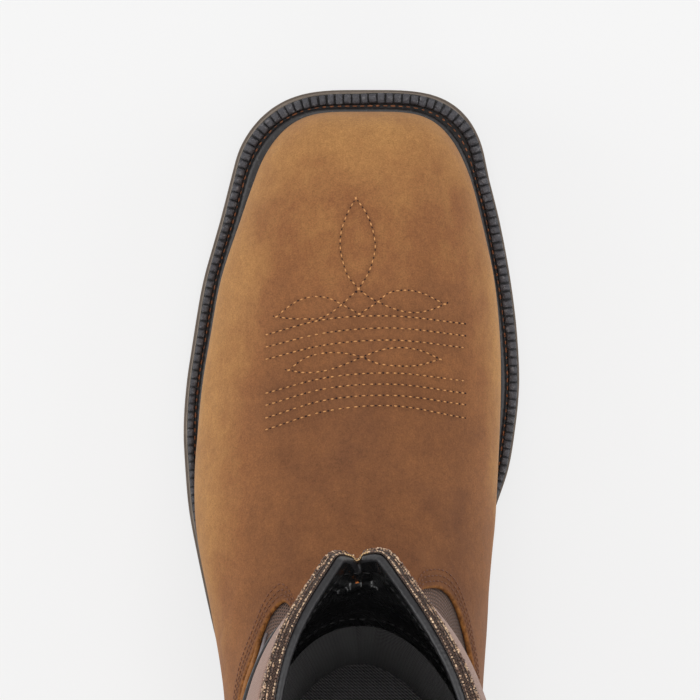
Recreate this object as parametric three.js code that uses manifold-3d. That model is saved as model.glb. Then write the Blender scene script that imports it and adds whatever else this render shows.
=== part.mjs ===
// A left western work boot that stands empty on its sole.
// Millimetres. +Y points to the toe, +X to the inner side of the foot, +Z up, and the floor is z = 0.
// The whole upper follows one surface: rings that run round the boot, from the sole up to the collar.
// A turn is the way round a ring, 0 at the front and 180 degrees at the back, negative on the outer side.
// A level is the way up, 0 where the upper meets the sole and 1 at the rim of the collar.

import * as THREE from "three";
import { mergeVertices } from "three/addons/utils/BufferGeometryUtils.js";
import Module from "manifold-3d";

const wasm = await Module();
wasm.setup();

// Driving sizes
const soleLength = 305; // outsole, from the back of the heel to the toe
const ballWidth = 116; // outsole across the ball
const collarHeight = 300; // floor to the highest point of the rim
const legWidth = 78; // shaft, side to side, at its widest
const collarDepth = 152; // shaft, front to back, at the rim
const vampHeight = 64; // ridge of the vamp above the sole, at the ball

// Sole
const heelHeight = 26; // heel base and top lift together
const liftHeight = 7; // top lift, the part of the heel that wears
const heelLength = 76; // back of the heel to its breast
const heelTaper = 3; // how far the heel draws in at the floor
const treadThickness = 11; // outsole under the ball, lugs included
const shankThickness = 6; // outsole under the arch and the heel seat
const lugDepth = 4;
const lugGroove = 4; // width of a groove between two lugs
const lugPitch = 13.5;
const lugRim = 9; // plain border round the lugs
const lugPoint = 9; // how far each groove points forward at the middle
const midsoleThickness = 4.5;
const midsoleInset = 1; // step in the side of the sole, under and over the midsole
const toeSpring = 12; // lift of the toe tip above the floor
const shankFront = 0.545; // where the arch comes down to the floor, as a share of the sole's length
const treadFront = 0.703; // where the toe starts to lift
const toeRound = 24; // how far back the toe's corners reach
const toePower = 0.27; // low is square
const heelRound = 36;

// Welt and rand
const weltHeight = 3.4;
const ribPitch = 2.85;
const ribDepth = 0.9;
const weltInsetOuter = 1.8; // outsole that shows beyond the welt, on the outer side
const weltInsetInner = 0.8; // and on the inner side
const weltBack = 0.3; // where welt and rand end, as a share of the sole's length
const randWidth = 2.8;
const randHeight = 4.6;

// Upper
const wall = 2.4; // shaft with its lining
const leather = 1.8; // vamp and counter, laid over the shaft
const featherRise = 32; // height over which the side swells out above the sole
const ridgeLean = 3; // ridge of the vamp, towards the inner side
const frontDip = 0.848; // lowest point of the rim at the front, as a share of the shaft's height
const backDip = 0.875; // and at the back
const rimBow = 1.3; // low makes the dips more pointed
const rimPinch = 0.9; // how much the rim is drawn together towards its front
const rimPinchFrom = 0.9; // level where that starts
const rimBlunt = { by: 0.26, start: 0.05, fade: 0.3 }; // how far its front is filled out, as shares of its width

// Trim and lining
const bandHeight = 17;
const bandThickness = 1.2;
const braidHeight = 4.2;
const braidThickness = 1.5;
const bindingCap = 1.6;
const facingHeight = 34;
const facingThickness = 1.1;
const pipingWidth = 3;
const pipingHeight = 1.6;
const insoleLevel = 0.02; // level of its top
const strapWidth = 26;
const strapThickness = 1.5;
const strapLength = 52; // below the rim, outside and inside
const strapLoop = 16; // clear height of the loop over the rim
const strapEase = 3; // how far the loop stands off outside
const strapTurn = 93; // degrees round from the front
const clearance = 0.3; // between any two pieces
const runOn = 2; // how far a piece runs past the line where it is cut

const halfLength = soleLength / 2;
const halfBall = ballWidth / 2;

// The foot, from heel to toe. Along is a share of the sole's length, and the rest are shares of half the ball's width:
// the sole's edge and the wall of the upper, each on the outer and the inner side, and how far the upper stands in.
const footTable = {
  columns: ["along", "soleOuter", "soleInner", "inset", "wallOuter", "wallInner"],
  rows: [
    [0.0, 0.603, 0.707, 0.06, 0.555, 0.645],
    [0.082, 0.603, 0.707, 0.06, 0.565, 0.65],
    [0.148, 0.612, 0.69, 0.065, 0.595, 0.655],
    [0.213, 0.634, 0.638, 0.1, 0.635, 0.672],
    [0.279, 0.681, 0.595, 0.14, 0.672, 0.7],
    [0.344, 0.75, 0.603, 0.158, 0.705, 0.722],
    [0.41, 0.836, 0.66, 0.158, 0.765, 0.748],
    [0.475, 0.914, 0.764, 0.16, 0.838, 0.776],
    [0.525, 0.966, 0.85, 0.163, 0.876, 0.806],
    [0.574, 0.99, 0.936, 0.166, 0.886, 0.827],
    [0.616, 1.0, 0.974, 0.17, 0.874, 0.842],
    [0.669, 0.983, 1.0, 0.174, 0.85, 0.85],
    [0.718, 0.945, 0.991, 0.178, 0.81, 0.85],
    [0.785, 0.884, 0.95, 0.182, 0.743, 0.819],
    [0.852, 0.784, 0.884, 0.186, 0.616, 0.736],
    [0.92, 0.69, 0.797, 0.19, 0.475, 0.64],
    [1.0, 0.572, 0.755, 0.19, 0.34, 0.55],
  ],
};

// The top line of the vamp in the side view, from the toe back to the instep. Rise is above the sole, as a share of
// the vamp's height. Round is how deep the cross-section curves, as a share of half the ball's width.
const ridgeTable = {
  columns: ["along", "rise", "round", "power"],
  rows: [
    [0.961, 0.0, 0.36, 0.22],
    [0.965, 0.144, 0.36, 0.22],
    [0.961, 0.294, 0.38, 0.23],
    [0.9459, 0.458, 0.42, 0.28],
    [0.9197, 0.6, 0.48, 0.36],
    [0.8738, 0.74, 0.59, 0.43],
    [0.8115, 0.85, 0.7, 0.47],
    [0.7295, 0.935, 0.78, 0.5],
    [0.6475, 1.0, 0.81, 0.5],
    [0.5656, 1.11, 0.83, 0.5],
    [0.5, 1.23, 0.86, 0.5],
    [0.4443, 1.345, 0.9, 0.5],
  ],
};

// The front of the shaft, from the throat to above the rim. Rise is above the heel seat, as a share of the shaft's
// height, and round is a share of half the collar's depth.
const shaftTable = {
  columns: ["along", "rise", "round", "power"],
  rows: [
    [0.409, 0.322, 0.7, 0.5],
    [0.39, 0.3945, 0.73, 0.5],
    [0.385, 0.4745, 0.78, 0.52],
    [0.39, 0.5697, 0.84, 0.54],
    [0.407, 0.665, 0.9, 0.55],
    [0.443, 0.76, 0.92, 0.55],
    [0.4957, 0.848, 0.92, 0.55],
    [0.558, 0.95, 0.92, 0.55],
    [0.59, 1.01, 0.92, 0.55],
  ],
};

// The back of the boot, from the heel seat to above the rim, in the same shares.
const backTable = {
  columns: ["along", "rise", "round", "power"],
  rows: [
    [0.0164, 0.0, 0.446, 0.5],
    [0.0115, 0.046, 0.446, 0.5],
    [0.0098, 0.095, 0.46, 0.5],
    [0.018, 0.171, 0.486, 0.5],
    [0.036, 0.267, 0.568, 0.5],
    [0.0443, 0.362, 0.65, 0.52],
    [0.0426, 0.457, 0.73, 0.54],
    [0.0344, 0.609, 0.81, 0.56],
    [0.0246, 0.762, 0.865, 0.58],
    [0.0164, 0.88, 0.92, 0.6],
    [0.0082, 1.01, 0.94, 0.6],
  ],
};

// Side walls of the leg, by level: half width as a share of half the leg's width, and how far the leg stands
// towards the inner side, as a share of the shift below.
const legTable = {
  columns: ["level", "half", "lean"],
  rows: [
    [0.0, 0.87, 0.3],
    [0.3, 0.87, 0.3],
    [0.45, 0.88, 0.35],
    [0.6, 0.9, 0.45],
    [0.75, 0.94, 0.6],
    [0.87, 0.965, 0.65],
    [0.94, 0.94, 0.78],
    [1.0, 0.77, 1.0],
  ],
};

// Middle line of the rim in the plan, towards the inner side, as a share of half the leg's width.
const shiftTable = {
  columns: ["along", "shift"],
  rows: [
    [0.0, 0.1026],
    [0.22, 0.1615],
    [0.36, 0.1385],
    [0.44, 0.0769],
    [0.492, 0.0462],
    [0.56, 0.0051],
    [0.6, 0.0],
  ],
};
const legBlend = [0.09, 0.36]; // rise over which the foot's walls give way to the leg's

// The upper edge of the vamp and the counter: level on the outer and the inner side, by turn in degrees.
const vampEdge = {
  columns: ["turn", "outer", "inner"],
  rows: [
    [0, 0.63, 0.63],
    [10, 0.6, 0.6],
    [20, 0.545, 0.545],
    [28, 0.475, 0.475],
    [36, 0.432, 0.423],
    [43, 0.422, 0.401],
    [60, 0.418, 0.36],
    [74, 0.402, 0.348],
    [100, 0.38, 0.34],
    [128, 0.36, 0.36],
  ],
};
const counterEdge = {
  columns: ["turn", "outer", "inner"],
  rows: [
    [123, 0.36, 0.36],
    [140, 0.42, 0.42],
    [158, 0.5, 0.5],
    [180, 0.55, 0.55],
  ],
};
const seamTurn = [123, 127.5]; // turn of the seam between vamp and counter, at the sole and at its top
const seamLevel = 0.36; // level of its top
const seamGap = 0.25; // degrees between the two

const clamp = (value, low = 0, high = 1) => Math.min(high, Math.max(low, value));
const mix = (a, b, t) => a + (b - a) * t;
const radians = (degrees) => (degrees * Math.PI) / 180;
const range = (count) => Array.from({ length: count }, (_, i) => i);

function smooth(low, high, value) {
  const t = clamp((value - low) / (high - low));
  return t * t * (3 - 2 * t);
}

// A smooth curve through the points of a table: a cubic between each two, with the slopes of its neighbours.
function curve(xs, ys) {
  const last = xs.length - 1;
  const steps = range(last).map((i) => (ys[i + 1] - ys[i]) / (xs[i + 1] - xs[i]));
  const slopes = xs.map((_, i) => {
    if (i === 0) return steps[0];
    if (i === last) return steps[last - 1];
    const before = xs[i] - xs[i - 1];
    const after = xs[i + 1] - xs[i];
    return (steps[i - 1] * after + steps[i] * before) / (before + after);
  });
  return (x) => {
    if (x <= xs[0]) return ys[0] + slopes[0] * (x - xs[0]);
    if (x >= xs[last]) return ys[last] + slopes[last] * (x - xs[last]);
    let i = 0;
    while (x > xs[i + 1]) i += 1;
    const h = xs[i + 1] - xs[i];
    const t = (x - xs[i]) / h;
    const rise = (3 - 2 * t) * t * t;
    const into = t * (1 - t) * (1 - t) * h * slopes[i];
    const outOf = t * t * (1 - t) * h * slopes[i + 1];
    return ys[i] * (1 - rise) + ys[i + 1] * rise + into - outOf;
  };
}

function columnCurve(table, key, column) {
  const pick = (name) => table.rows.map((row) => row[table.columns.indexOf(name)]);
  return curve(pick(key), pick(column));
}

const foot = Object.fromEntries(
  footTable.columns.slice(1).map((name) => [name, columnCurve(footTable, "along", name)]),
);
const along = (y) => clamp((y + halfLength) / soleLength);
const yAt = (share) => share * soleLength - halfLength;

// Heights along the boot

function soleBottom(y) {
  const arch = (heelHeight + clearance) * (1 - smooth(heelLength - halfLength, yAt(shankFront), y));
  const lift = clamp((y - yAt(treadFront)) / (halfLength - yAt(treadFront)));
  return arch + toeSpring * lift * lift;
}

function outsoleTop(y) {
  const share = smooth(heelLength - halfLength, yAt(shankFront), y);
  return soleBottom(y) + mix(shankThickness, treadThickness, share);
}

const midsoleTop = (y) => outsoleTop(y) + clearance + midsoleThickness;
const feather = (y) => midsoleTop(y) + clearance;
const seat = feather(-halfLength);
const shaftHeight = collarHeight - seat;

// The sole's edge: distance from the middle line on one side, where inset moves it in all round.
function soleEdge(y, side, inset = 0) {
  const half = foot[side > 0 ? "soleInner" : "soleOuter"](along(y)) * halfBall - inset;
  const toe = clamp((halfLength - inset - y) / toeRound);
  const heel = clamp((y + halfLength - inset) / heelRound);
  const round = (1 - (1 - toe) ** 2) ** toePower * (1 - (1 - heel) ** 2) ** 0.5;
  const middle = soleMiddle(y);
  return middle + side * Math.max(0, half - side * middle) * round;
}

function soleMiddle(y) {
  return ((foot.soleInner(along(y)) - foot.soleOuter(along(y))) * halfBall) / 2;
}

// The front and back lines of the upper in the side view, each as a dense run of points with its rounding.
function profileLine(rows) {
  const distances = [0];
  for (let i = 1; i < rows.length; i += 1) {
    const step = Math.hypot(rows[i].y - rows[i - 1].y, rows[i].z - rows[i - 1].z);
    distances.push(distances[i - 1] + step);
  }
  const columns = ["y", "z", "round", "power"];
  const curves = columns.map((name) => curve(distances, rows.map((row) => row[name])));
  const samples = 180;
  const total = distances[distances.length - 1];
  return range(samples + 1).map((i) => {
    const at = (total * i) / samples;
    const [y, z, round, power] = curves.map((f) => f(at));
    return { y, z, round, power, at };
  });
}

const asRow = (table, row) => Object.fromEntries(table.columns.map((name, i) => [name, row[i]]));
const legRow = (table) => (values) => {
  const row = asRow(table, values);
  const z = seat + row.rise * shaftHeight;
  return { y: yAt(row.along), z, round: (row.round * collarDepth) / 2, power: row.power };
};
const ridgeRow = (values) => {
  const row = asRow(ridgeTable, values);
  const y = yAt(row.along);
  return { y, z: feather(y) + row.rise * vampHeight, round: row.round * halfBall, power: row.power };
};

const frontLine = profileLine([
  ...ridgeTable.rows.map(ridgeRow),
  ...shaftTable.rows.map(legRow(shaftTable)),
]);
const backLine = profileLine(backTable.rows.map(legRow(backTable)));

// Where a profile line passes a height on its upper part
function passes(line, z) {
  const i = line.findIndex((p, k) => k > line.length / 2 && p.z >= z);
  const before = line[i - 1];
  return mix(before.at, line[i].at, (z - before.z) / (line[i].z - before.z));
}

function pointAt(line, at) {
  const step = line[1].at;
  const i = clamp(Math.floor(at / step), 0, line.length - 2);
  const t = at / step - i;
  const between = (name) => mix(line[i][name], line[i + 1][name], t);
  return { y: between("y"), z: between("z"), power: between("power") };
}

const throatLevel = 0.6; // level of the ring through the throat
const throatRise = 0.34; // where that ring meets the back, as a share of the shaft's height
const frontEnd = passes(frontLine, seat + frontDip * shaftHeight);
const backEnd = passes(backLine, seat + backDip * shaftHeight);
const throatFront = frontLine.reduce((best, p) => (p.y < best.y && p.z < collarHeight ? p : best)).at;
const throatBack = (backEnd * throatRise) / backDip;

function ringEnds(level) {
  const low = clamp(level / throatLevel);
  const high = clamp((level - throatLevel) / (1 - throatLevel));
  const front = mix(throatFront * low, frontEnd, high);
  const back = mix(throatBack * low, backEnd, high);
  return [pointAt(frontLine, front), pointAt(backLine, back)];
}

const rimRise = collarHeight - mix(ringEnds(1)[0].z, ringEnds(1)[1].z, 0.5);

// Side view of a ring: a turn gives its share of the way from the front point to the back point. A square toe takes
// small steps at first, so that the turns stay evenly spread across it.
function ringPoint(turn, level) {
  const [front, back] = ringEnds(level);
  const [front0, back0] = ringEnds(0);
  const base = (1 - Math.cos(turn)) / 2;
  const s = base ** (1 + (0.5 / front.power - 1) * (1 - base) ** 3);
  const sag = (mix(front0.z, back0.z, s) - feather(mix(front0.y, back0.y, s))) * (1 - level) ** 4;
  const bow = rimRise * (2 * Math.sqrt(s * (1 - s))) ** rimBow * smooth(throatLevel, 1, level) ** 2;
  return [mix(front.y, back.y, s), mix(front.z, back.z, s) - sag + bow];
}

// How far a point of the side view has risen towards full width, from a profile line.
function rounding(line, y, z) {
  let best = { d: Infinity };
  for (let i = 0; i < line.length - 1; i += 1) {
    const a = line[i];
    const b = line[i + 1];
    const dy = b.y - a.y;
    const dz = b.z - a.z;
    const t = clamp(((y - a.y) * dy + (z - a.z) * dz) / (dy * dy + dz * dz));
    const d = Math.hypot(y - a.y - dy * t, z - a.z - dz * t);
    if (d < best.d) best = { d, a, b, t };
  }
  const reach = clamp(best.d / mix(best.a.round, best.b.round, best.t));
  return (1 - (1 - reach) ** 2) ** mix(best.a.power, best.b.power, best.t);
}

const leg = Object.fromEntries(["half", "lean"].map((name) => [name, columnCurve(legTable, "level", name)]));
const rimShift = columnCurve(shiftTable, "along", "shift");

function wallWidth(y, z, level, side) {
  const share = along(y);
  const edge = foot[side > 0 ? "soleInner" : "soleOuter"](share) - foot.inset(share);
  const swell = foot[side > 0 ? "wallInner" : "wallOuter"](share);
  const footHalf = mix(edge, swell, smooth(-runOn, featherRise, z - feather(y))) * halfBall;
  const legSide = ((leg.half(level) + side * leg.lean(level) * rimShift(share)) * legWidth) / 2;
  return mix(footHalf, legSide, smooth(...legBlend, (z - seat) / shaftHeight));
}

function bodyPoint(turn, level) {
  const side = turn < 0 ? -1 : 1;
  const [y, z] = ringPoint(turn, level);
  const inner = wallWidth(y, z, level, 1);
  const outer = wallWidth(y, z, level, -1);
  const pinch = 1 + rimPinch * smooth(rimPinchFrom, 1, level);
  const drawn = rounding(frontLine, y, z) ** pinch;
  const filled = rimBlunt.by * (1 - Math.exp(-drawn / rimBlunt.start)) * Math.exp(-drawn / rimBlunt.fade);
  const full = (drawn + filled * smooth(rimPinchFrom, 1, level)) * rounding(backLine, y, z);
  const onRidge = smooth(0.3, 0.7, along(y)) * smooth(0, 0.3, 0.95 - along(y));
  const lean = ridgeLean * (1 - full) * onRidge;
  return new THREE.Vector3((inner - outer) / 2 + (side * full * (inner + outer)) / 2 + lean, y, z);
}

// A level past the rim, or under the sole line, for a distance in millimetres
const over = (distance) => 1 + distance / legWidth;
const under = (distance) => -distance / legWidth;

// A point of the upper, moved out along its normal by a distance
function surface(turn, level, out = 0) {
  const h = 0.004;
  const at = clamp(level);
  const up = bodyPoint(turn, clamp(at + h)).sub(bodyPoint(turn, clamp(at - h)));
  const wrap = (t) => (t > Math.PI ? t - 2 * Math.PI : t < -Math.PI ? t + 2 * Math.PI : t);
  const around = bodyPoint(wrap(turn + 4 * h), at).sub(bodyPoint(wrap(turn - 4 * h), at));
  const point = bodyPoint(turn, at).addScaledVector(up.clone().cross(around).normalize(), out);
  if (level > 1) point.addScaledVector(up.normalize(), (level - 1) * legWidth);
  if (level < 0) point.z += level * legWidth;
  return point;
}

// Turns and levels of the flat facets that stand for the surface, closer together where it curves most
const ringTurns = range(40).map((i) => {
  const t = mix(-Math.PI, Math.PI, i / 40);
  return t - 0.1 * Math.sin(2 * t);
});
const bodyLevels = [
  0, 0.02, 0.045, 0.075, 0.105, 0.145, 0.2, 0.27, 0.35, 0.43, 0.5, 0.56, 0.63, 0.71, 0.79, 0.86, 0.92, 0.965, 1,
];

// A place on those facets
const nodes = new Map();
function node(i, level, out) {
  const key = `${i},${level},${out}`;
  if (!nodes.has(key)) nodes.set(key, surface(ringTurns[i], level, out));
  return nodes.get(key);
}

function faceted(turn, level, out) {
  const count = ringTurns.length;
  const after = ringTurns.findIndex((t) => t > turn + 1e-9);
  const i = after < 0 ? count - 1 : Math.max(after - 1, 0);
  const k = (i + 1) % count;
  const t = (turn - ringTurns[i]) / ((k ? ringTurns[k] : Math.PI) - ringTurns[i]);
  const j = bodyLevels.findIndex((l) => l >= level);
  const low = j < 1 ? level : bodyLevels[j - 1];
  const high = j < 1 ? level : bodyLevels[j];
  const up = j < 1 ? 0 : (level - low) / (high - low);
  const corner = (n, l, weight) => node(n, l, out).clone().multiplyScalar(weight);
  const [shared, leftOver, rightOver] = [Math.min(t, up), Math.max(up - t, 0), Math.max(t - up, 0)];
  return corner(k, high, shared)
    .add(corner(i, low, 1 - Math.max(t, up)))
    .add(corner(i, high, leftOver))
    .add(corner(k, low, rightOver));
}

// The level that lies a distance below the rim, measured on the surface
function belowRim(turn, distance) {
  const step = 0.02;
  const length = bodyPoint(turn, 1).distanceTo(bodyPoint(turn, 1 - step));
  return 1 - (step * distance) / length;
}

// Closed bodies
function geometryOf(positions, indices) {
  const geometry = new THREE.BufferGeometry();
  geometry.setAttribute("position", new THREE.Float32BufferAttribute(positions.flatMap((p) => p.toArray()), 3));
  geometry.setIndex(indices);
  return geometry;
}

// Sections are loops with the same number of points. A closed loft joins its last section to its first; an open
// one has flat ends, each between the first and the second half of its loop.
function loft(sections, closed) {
  const size = sections[0].length;
  const indices = [];
  const quad = (a, b, c, d) => indices.push(a, b, c, a, c, d);
  const joins = closed ? sections.length : sections.length - 1;
  for (let i = 0; i < joins; i += 1) {
    const from = i * size;
    const to = ((i + 1) % sections.length) * size;
    for (let j = 0; j < size; j += 1) {
      const k = (j + 1) % size;
      quad(from + j, from + k, to + k, to + j);
    }
  }
  if (!closed) {
    const end = (sections.length - 1) * size;
    for (let j = 0; j < size / 2 - 1; j += 1) {
      quad(j, size - 1 - j, size - 2 - j, j + 1);
      quad(end + j, end + j + 1, end + size - 2 - j, end + size - 1 - j);
    }
  }
  return outward(geometryOf(sections.flat(), indices));
}

function volumeOf(geometry) {
  const p = geometry.getAttribute("position");
  const index = geometry.getIndex().array;
  const [a, b, c] = [new THREE.Vector3(), new THREE.Vector3(), new THREE.Vector3()];
  let sum = 0;
  for (let i = 0; i < index.length; i += 3) {
    a.fromBufferAttribute(p, index[i]);
    b.fromBufferAttribute(p, index[i + 1]);
    c.fromBufferAttribute(p, index[i + 2]);
    sum += a.dot(b.cross(c)) / 6;
  }
  return sum;
}

function outward(geometry) {
  if (volumeOf(geometry) < 0) geometry.getIndex().array.reverse();
  return geometry;
}

function toManifold(geometry) {
  const bare = geometry.clone();
  bare.deleteAttribute("normal");
  bare.deleteAttribute("uv");
  const merged = mergeVertices(bare, 1e-4);
  const vertProperties = new Float32Array(merged.getAttribute("position").array);
  const triVerts = new Uint32Array(merged.getIndex().array);
  return new wasm.Manifold(new wasm.Mesh({ numProp: 3, vertProperties, triVerts }));
}

function fromManifold(solid) {
  const mesh = solid.getMesh();
  const geometry = new THREE.BufferGeometry();
  geometry.setAttribute("position", new THREE.Float32BufferAttribute(mesh.vertProperties, 3));
  geometry.setIndex(Array.from(mesh.triVerts));
  return geometry;
}

// Places along the sole, closer together at both ends. All layers share them, so that they stay parallel.
const stations = range(45).map((i) => -Math.cos((Math.PI * i) / 44) * halfLength);

// A layer of the sole between two heights, over a stretch of the boot
function soleLayer(low, high, inset, from = 0, to = 1) {
  const start = Math.max(yAt(from), inset - halfLength) + clearance / 2;
  const end = Math.min(yAt(to), halfLength - inset) - clearance / 2;
  const places = [start, ...stations.filter((y) => y > start + clearance && y < end - clearance), end];
  const sections = places.map((y) => {
    const outer = soleEdge(y, -1, inset);
    const inner = soleEdge(y, 1, inset);
    return strip(y, outer, inner, low(y), high(y));
  });
  return loft(sections, false);
}

function strip(y, outer, inner, low, high) {
  return [
    new THREE.Vector3(outer, y, high),
    new THREE.Vector3(inner, y, high),
    new THREE.Vector3(inner, y, low),
    new THREE.Vector3(outer, y, low),
  ];
}

// Everything under the line where the upper meets the sole
function soleSide() {
  const ends = [-soleLength, ...stations, soleLength];
  return toManifold(loft(ends.map((y) => strip(y, -ballWidth, ballWidth, -ballWidth, feather(y))), false));
}

// A prism between two heights over an outline in the plan
function prism(outline, low, high) {
  const shape = new THREE.Shape(outline.map(([x, y]) => new THREE.Vector2(x, y)));
  const geometry = new THREE.ExtrudeGeometry(shape, { depth: high - low, bevelEnabled: false });
  geometry.translate(0, 0, low);
  return geometry;
}

const bed = soleSide();

// The lugs are what stays between pointed grooves that cross the tread, inside a plain border.
function outsole() {
  let solid = toManifold(soleLayer(soleBottom, outsoleTop, 0));
  const below = (y) => soleBottom(y) - lugDepth;
  const field = toManifold(soleLayer(below, (y) => soleBottom(y) + lugDepth, lugRim, shankFront - 0.06));
  const grooves = Math.floor((0.46 * soleLength) / lugPitch);
  const reach = [-lugDepth, heelHeight + treadThickness];
  let cuts = toManifold(prism(rectangle(-lugGroove / 2, yAt(0.4), lugGroove / 2, halfLength), ...reach));
  for (const i of range(grooves)) {
    const y = yAt(0.53) + i * lugPitch;
    const half = lugGroove / 2;
    const chevron = [
      [-halfBall, y - half],
      [0, y + lugPoint - half],
      [halfBall, y - half],
      [halfBall, y + half],
      [0, y + lugPoint + half],
      [-halfBall, y + half],
    ];
    cuts = cuts.add(toManifold(prism(chevron, ...reach)));
  }
  solid = solid.subtract(cuts.intersect(field));
  return fromManifold(solid);
}

function rectangle(x0, y0, x1, y1) {
  return [[x0, y0], [x1, y0], [x1, y1], [x0, y1]];
}

// The heel draws in towards the floor. Both its parts are cut from the same form.
function heelPart(low, high) {
  const count = 14;
  const start = clearance / 2 - halfLength;
  const end = heelLength - halfLength;
  const section = (i) => {
    const y = mix(start, end, 1 - Math.cos((Math.PI * i) / count / 2));
    const ring = (z) => {
      const draw = heelTaper * (1 - z / heelHeight);
      const back = y + draw * (1 - (y - start) / (end - start)) - 1.2 * draw * smooth(start, end, y);
      return [-1, 1].map((side) => new THREE.Vector3(soleEdge(y, side) - side * draw, back, z));
    };
    const [a, b] = ring(high);
    const [c, d] = ring(low);
    return [a, b, d, c];
  };
  return loft(range(count + 1).map(section), false);
}

// Welt and rand run from the arch on one side, round the toe, to the arch on the other.
// The turn where the upper's foot passes a place along the sole
function turnAt(y) {
  let low = 0;
  let high = Math.PI;
  for (const _ of range(30)) {
    const middle = (low + high) / 2;
    if (ringPoint(middle, 0)[0] > y) low = middle;
    else high = middle;
  }
  return low;
}

// The side of the sole that the upper stands on, as flat as the stations make it
function bedHeight(y) {
  const i = clamp(stations.findIndex((station) => station > y), 1, stations.length - 1);
  const [a, b] = [stations[i - 1], stations[i]];
  return mix(feather(a), feather(b), (y - a) / (b - a));
}

// A place beside the upper's foot, out along the plan
function beside(turn, out, rise) {
  const wallFoot = faceted(turn, 0, 0);
  const direction = faceted(turn, 0, 1).sub(wallFoot).setZ(0).normalize();
  wallFoot.addScaledVector(direction, out);
  wallFoot.z = bedHeight(wallFoot.y) + rise;
  return wallFoot;
}

const featherOut = leather + clearance; // outer face of the vamp, from the shaft's own surface
const besideTurns = (end) => [-end, ...ringTurns.filter((turn) => Math.abs(turn) < end - 0.02), end];

function rand() {
  const inner = featherOut + clearance;
  const sections = besideTurns(turnAt(yAt(weltBack))).map((turn) => {
    const wallFoot = faceted(turn, 0, inner);
    return [
      faceted(turn, bodyLevels[1], inner),
      beside(turn, inner + randWidth * 0.9, randHeight * 0.6),
      beside(turn, inner + randWidth, 0),
      wallFoot.setZ(bedHeight(wallFoot.y)),
    ];
  });
  return fromManifold(toManifold(loft(sections, false)).subtract(bed));
}

// The sole's edge as a path in the plan, moved in by an inset that differs on the two sides
function edgePath(insetOf) {
  const points = [];
  const count = 400;
  for (const side of [-1, 1]) {
    const half = range(count + 1).map((i) => {
      const angle = (Math.PI * i) / count / 2;
      const y = mix(yAt(weltBack), halfLength - insetOf(side) - 1e-3, Math.sin(angle));
      return new THREE.Vector2(soleEdge(y, side, insetOf(side)), y);
    });
    points.push(...(side < 0 ? half : half.reverse()));
  }
  return points;
}

// Even steps along a path, each with its inward normal
function steps(path, pitch) {
  const lengths = [0];
  for (let i = 1; i < path.length; i += 1) lengths.push(lengths[i - 1] + path[i].distanceTo(path[i - 1]));
  const total = lengths[lengths.length - 1];
  const count = Math.floor(total / pitch);
  let k = 0;
  return range(count + 1).map((i) => {
    const at = (total * i) / count;
    while (k < path.length - 2 && lengths[k + 1] < at) k += 1;
    const t = (at - lengths[k]) / (lengths[k + 1] - lengths[k]);
    const point = path[k].clone().lerp(path[k + 1], t);
    const along = path[Math.min(k + 6, path.length - 1)].clone().sub(path[Math.max(k - 5, 0)]).normalize();
    return { point, inward: new THREE.Vector2(along.y, -along.x) };
  });
}

// Distance from a point, in a direction, to a path
function reachTo(path, point, direction) {
  const reaches = path.slice(1).map((end, i) => {
    const edge = end.clone().sub(path[i]);
    const gap = path[i].clone().sub(point);
    const cross = direction.cross(edge);
    const t = gap.cross(edge) / cross;
    const s = gap.cross(direction) / cross;
    return t > 0 && s >= -1e-6 && s <= 1 + 1e-6 ? t : Infinity;
  });
  return Math.min(...reaches);
}

function welt() {
  const inset = (side) => (side < 0 ? weltInsetOuter : weltInsetInner);
  const out = featherOut + 2 * clearance + randWidth;
  const wallPath = besideTurns(turnAt(yAt(weltBack)) + 0.3).map((turn) => {
    const { x, y } = beside(turn, out, 0);
    return new THREE.Vector2(x, y);
  });
  const sections = steps(edgePath(inset), ribPitch / 2).map(({ point, inward }, i) => {
    const reach = clamp(reachTo(wallPath, point, inward), clearance * 3, randWidth * 4);
    const inner = point.clone().addScaledVector(inward, reach);
    const top = weltHeight - (i % 2 ? ribDepth : 0);
    const at = (p, up) => new THREE.Vector3(p.x, p.y, bedHeight(p.y) + up);
    return [at(inner, 0), at(inner, weltHeight), at(point, top), at(point, 0)];
  });
  return loft(sections, false);
}

// A sheet of even thickness on the surface, between two distances out from it. Each column is a run of places up
// one turn. Neighbouring columns are joined level by level, so that sheets over one another keep parallel facets.
function sheet(columns, outer, inner, closed) {
  const positions = [];
  const indices = [];
  const starts = columns.map((column) => {
    const start = positions.length;
    for (const out of [outer, inner]) positions.push(...column.map(([turn, level]) => faceted(turn, level, out)));
    return start;
  });
  const quad = (a, b, c, d) => indices.push(a, b, c, a, c, d);
  columns.forEach((left, i) => {
    if (i === columns.length - 1 && !closed) return;
    const k = (i + 1) % columns.length;
    const right = columns[k];
    const [from, to] = [starts[i], starts[k]];
    const [m, n] = [left.length, right.length];
    let a = 0;
    let b = 0;
    while (a < m - 1 || b < n - 1) {
      const goRight = b < n - 1 && (a === m - 1 || right[b + 1][1] <= left[a + 1][1] + 1e-9);
      const [tipA, tipB] = goRight ? [to + b + 1, to + n + b + 1] : [from + a + 1, from + m + a + 1];
      indices.push(from + a, to + b, tipA, from + m + a, tipB, to + n + b);
      if (goRight) b += 1;
      else a += 1;
    }
    quad(from + 2 * m - 1, from + m - 1, to + n - 1, to + 2 * n - 1);
    quad(from, from + m, to + n, to);
  });
  if (!closed) {
    const [m, n, last] = [columns[0].length, columns.at(-1).length, starts.at(-1)];
    for (const j of range(m - 1)) quad(j, j + 1, m + j + 1, m + j);
    for (const j of range(n - 1)) quad(last + j, last + n + j, last + n + j + 1, last + j + 1);
  }
  return outward(geometryOf(positions, indices));
}

// A run of places up one turn, between two levels
function column(turn, low, high) {
  const between = bodyLevels.filter((level) => level > low + 0.006 && level < high - 0.006);
  return [low, ...between, high].map((level) => [turn, level]);
}

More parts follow.
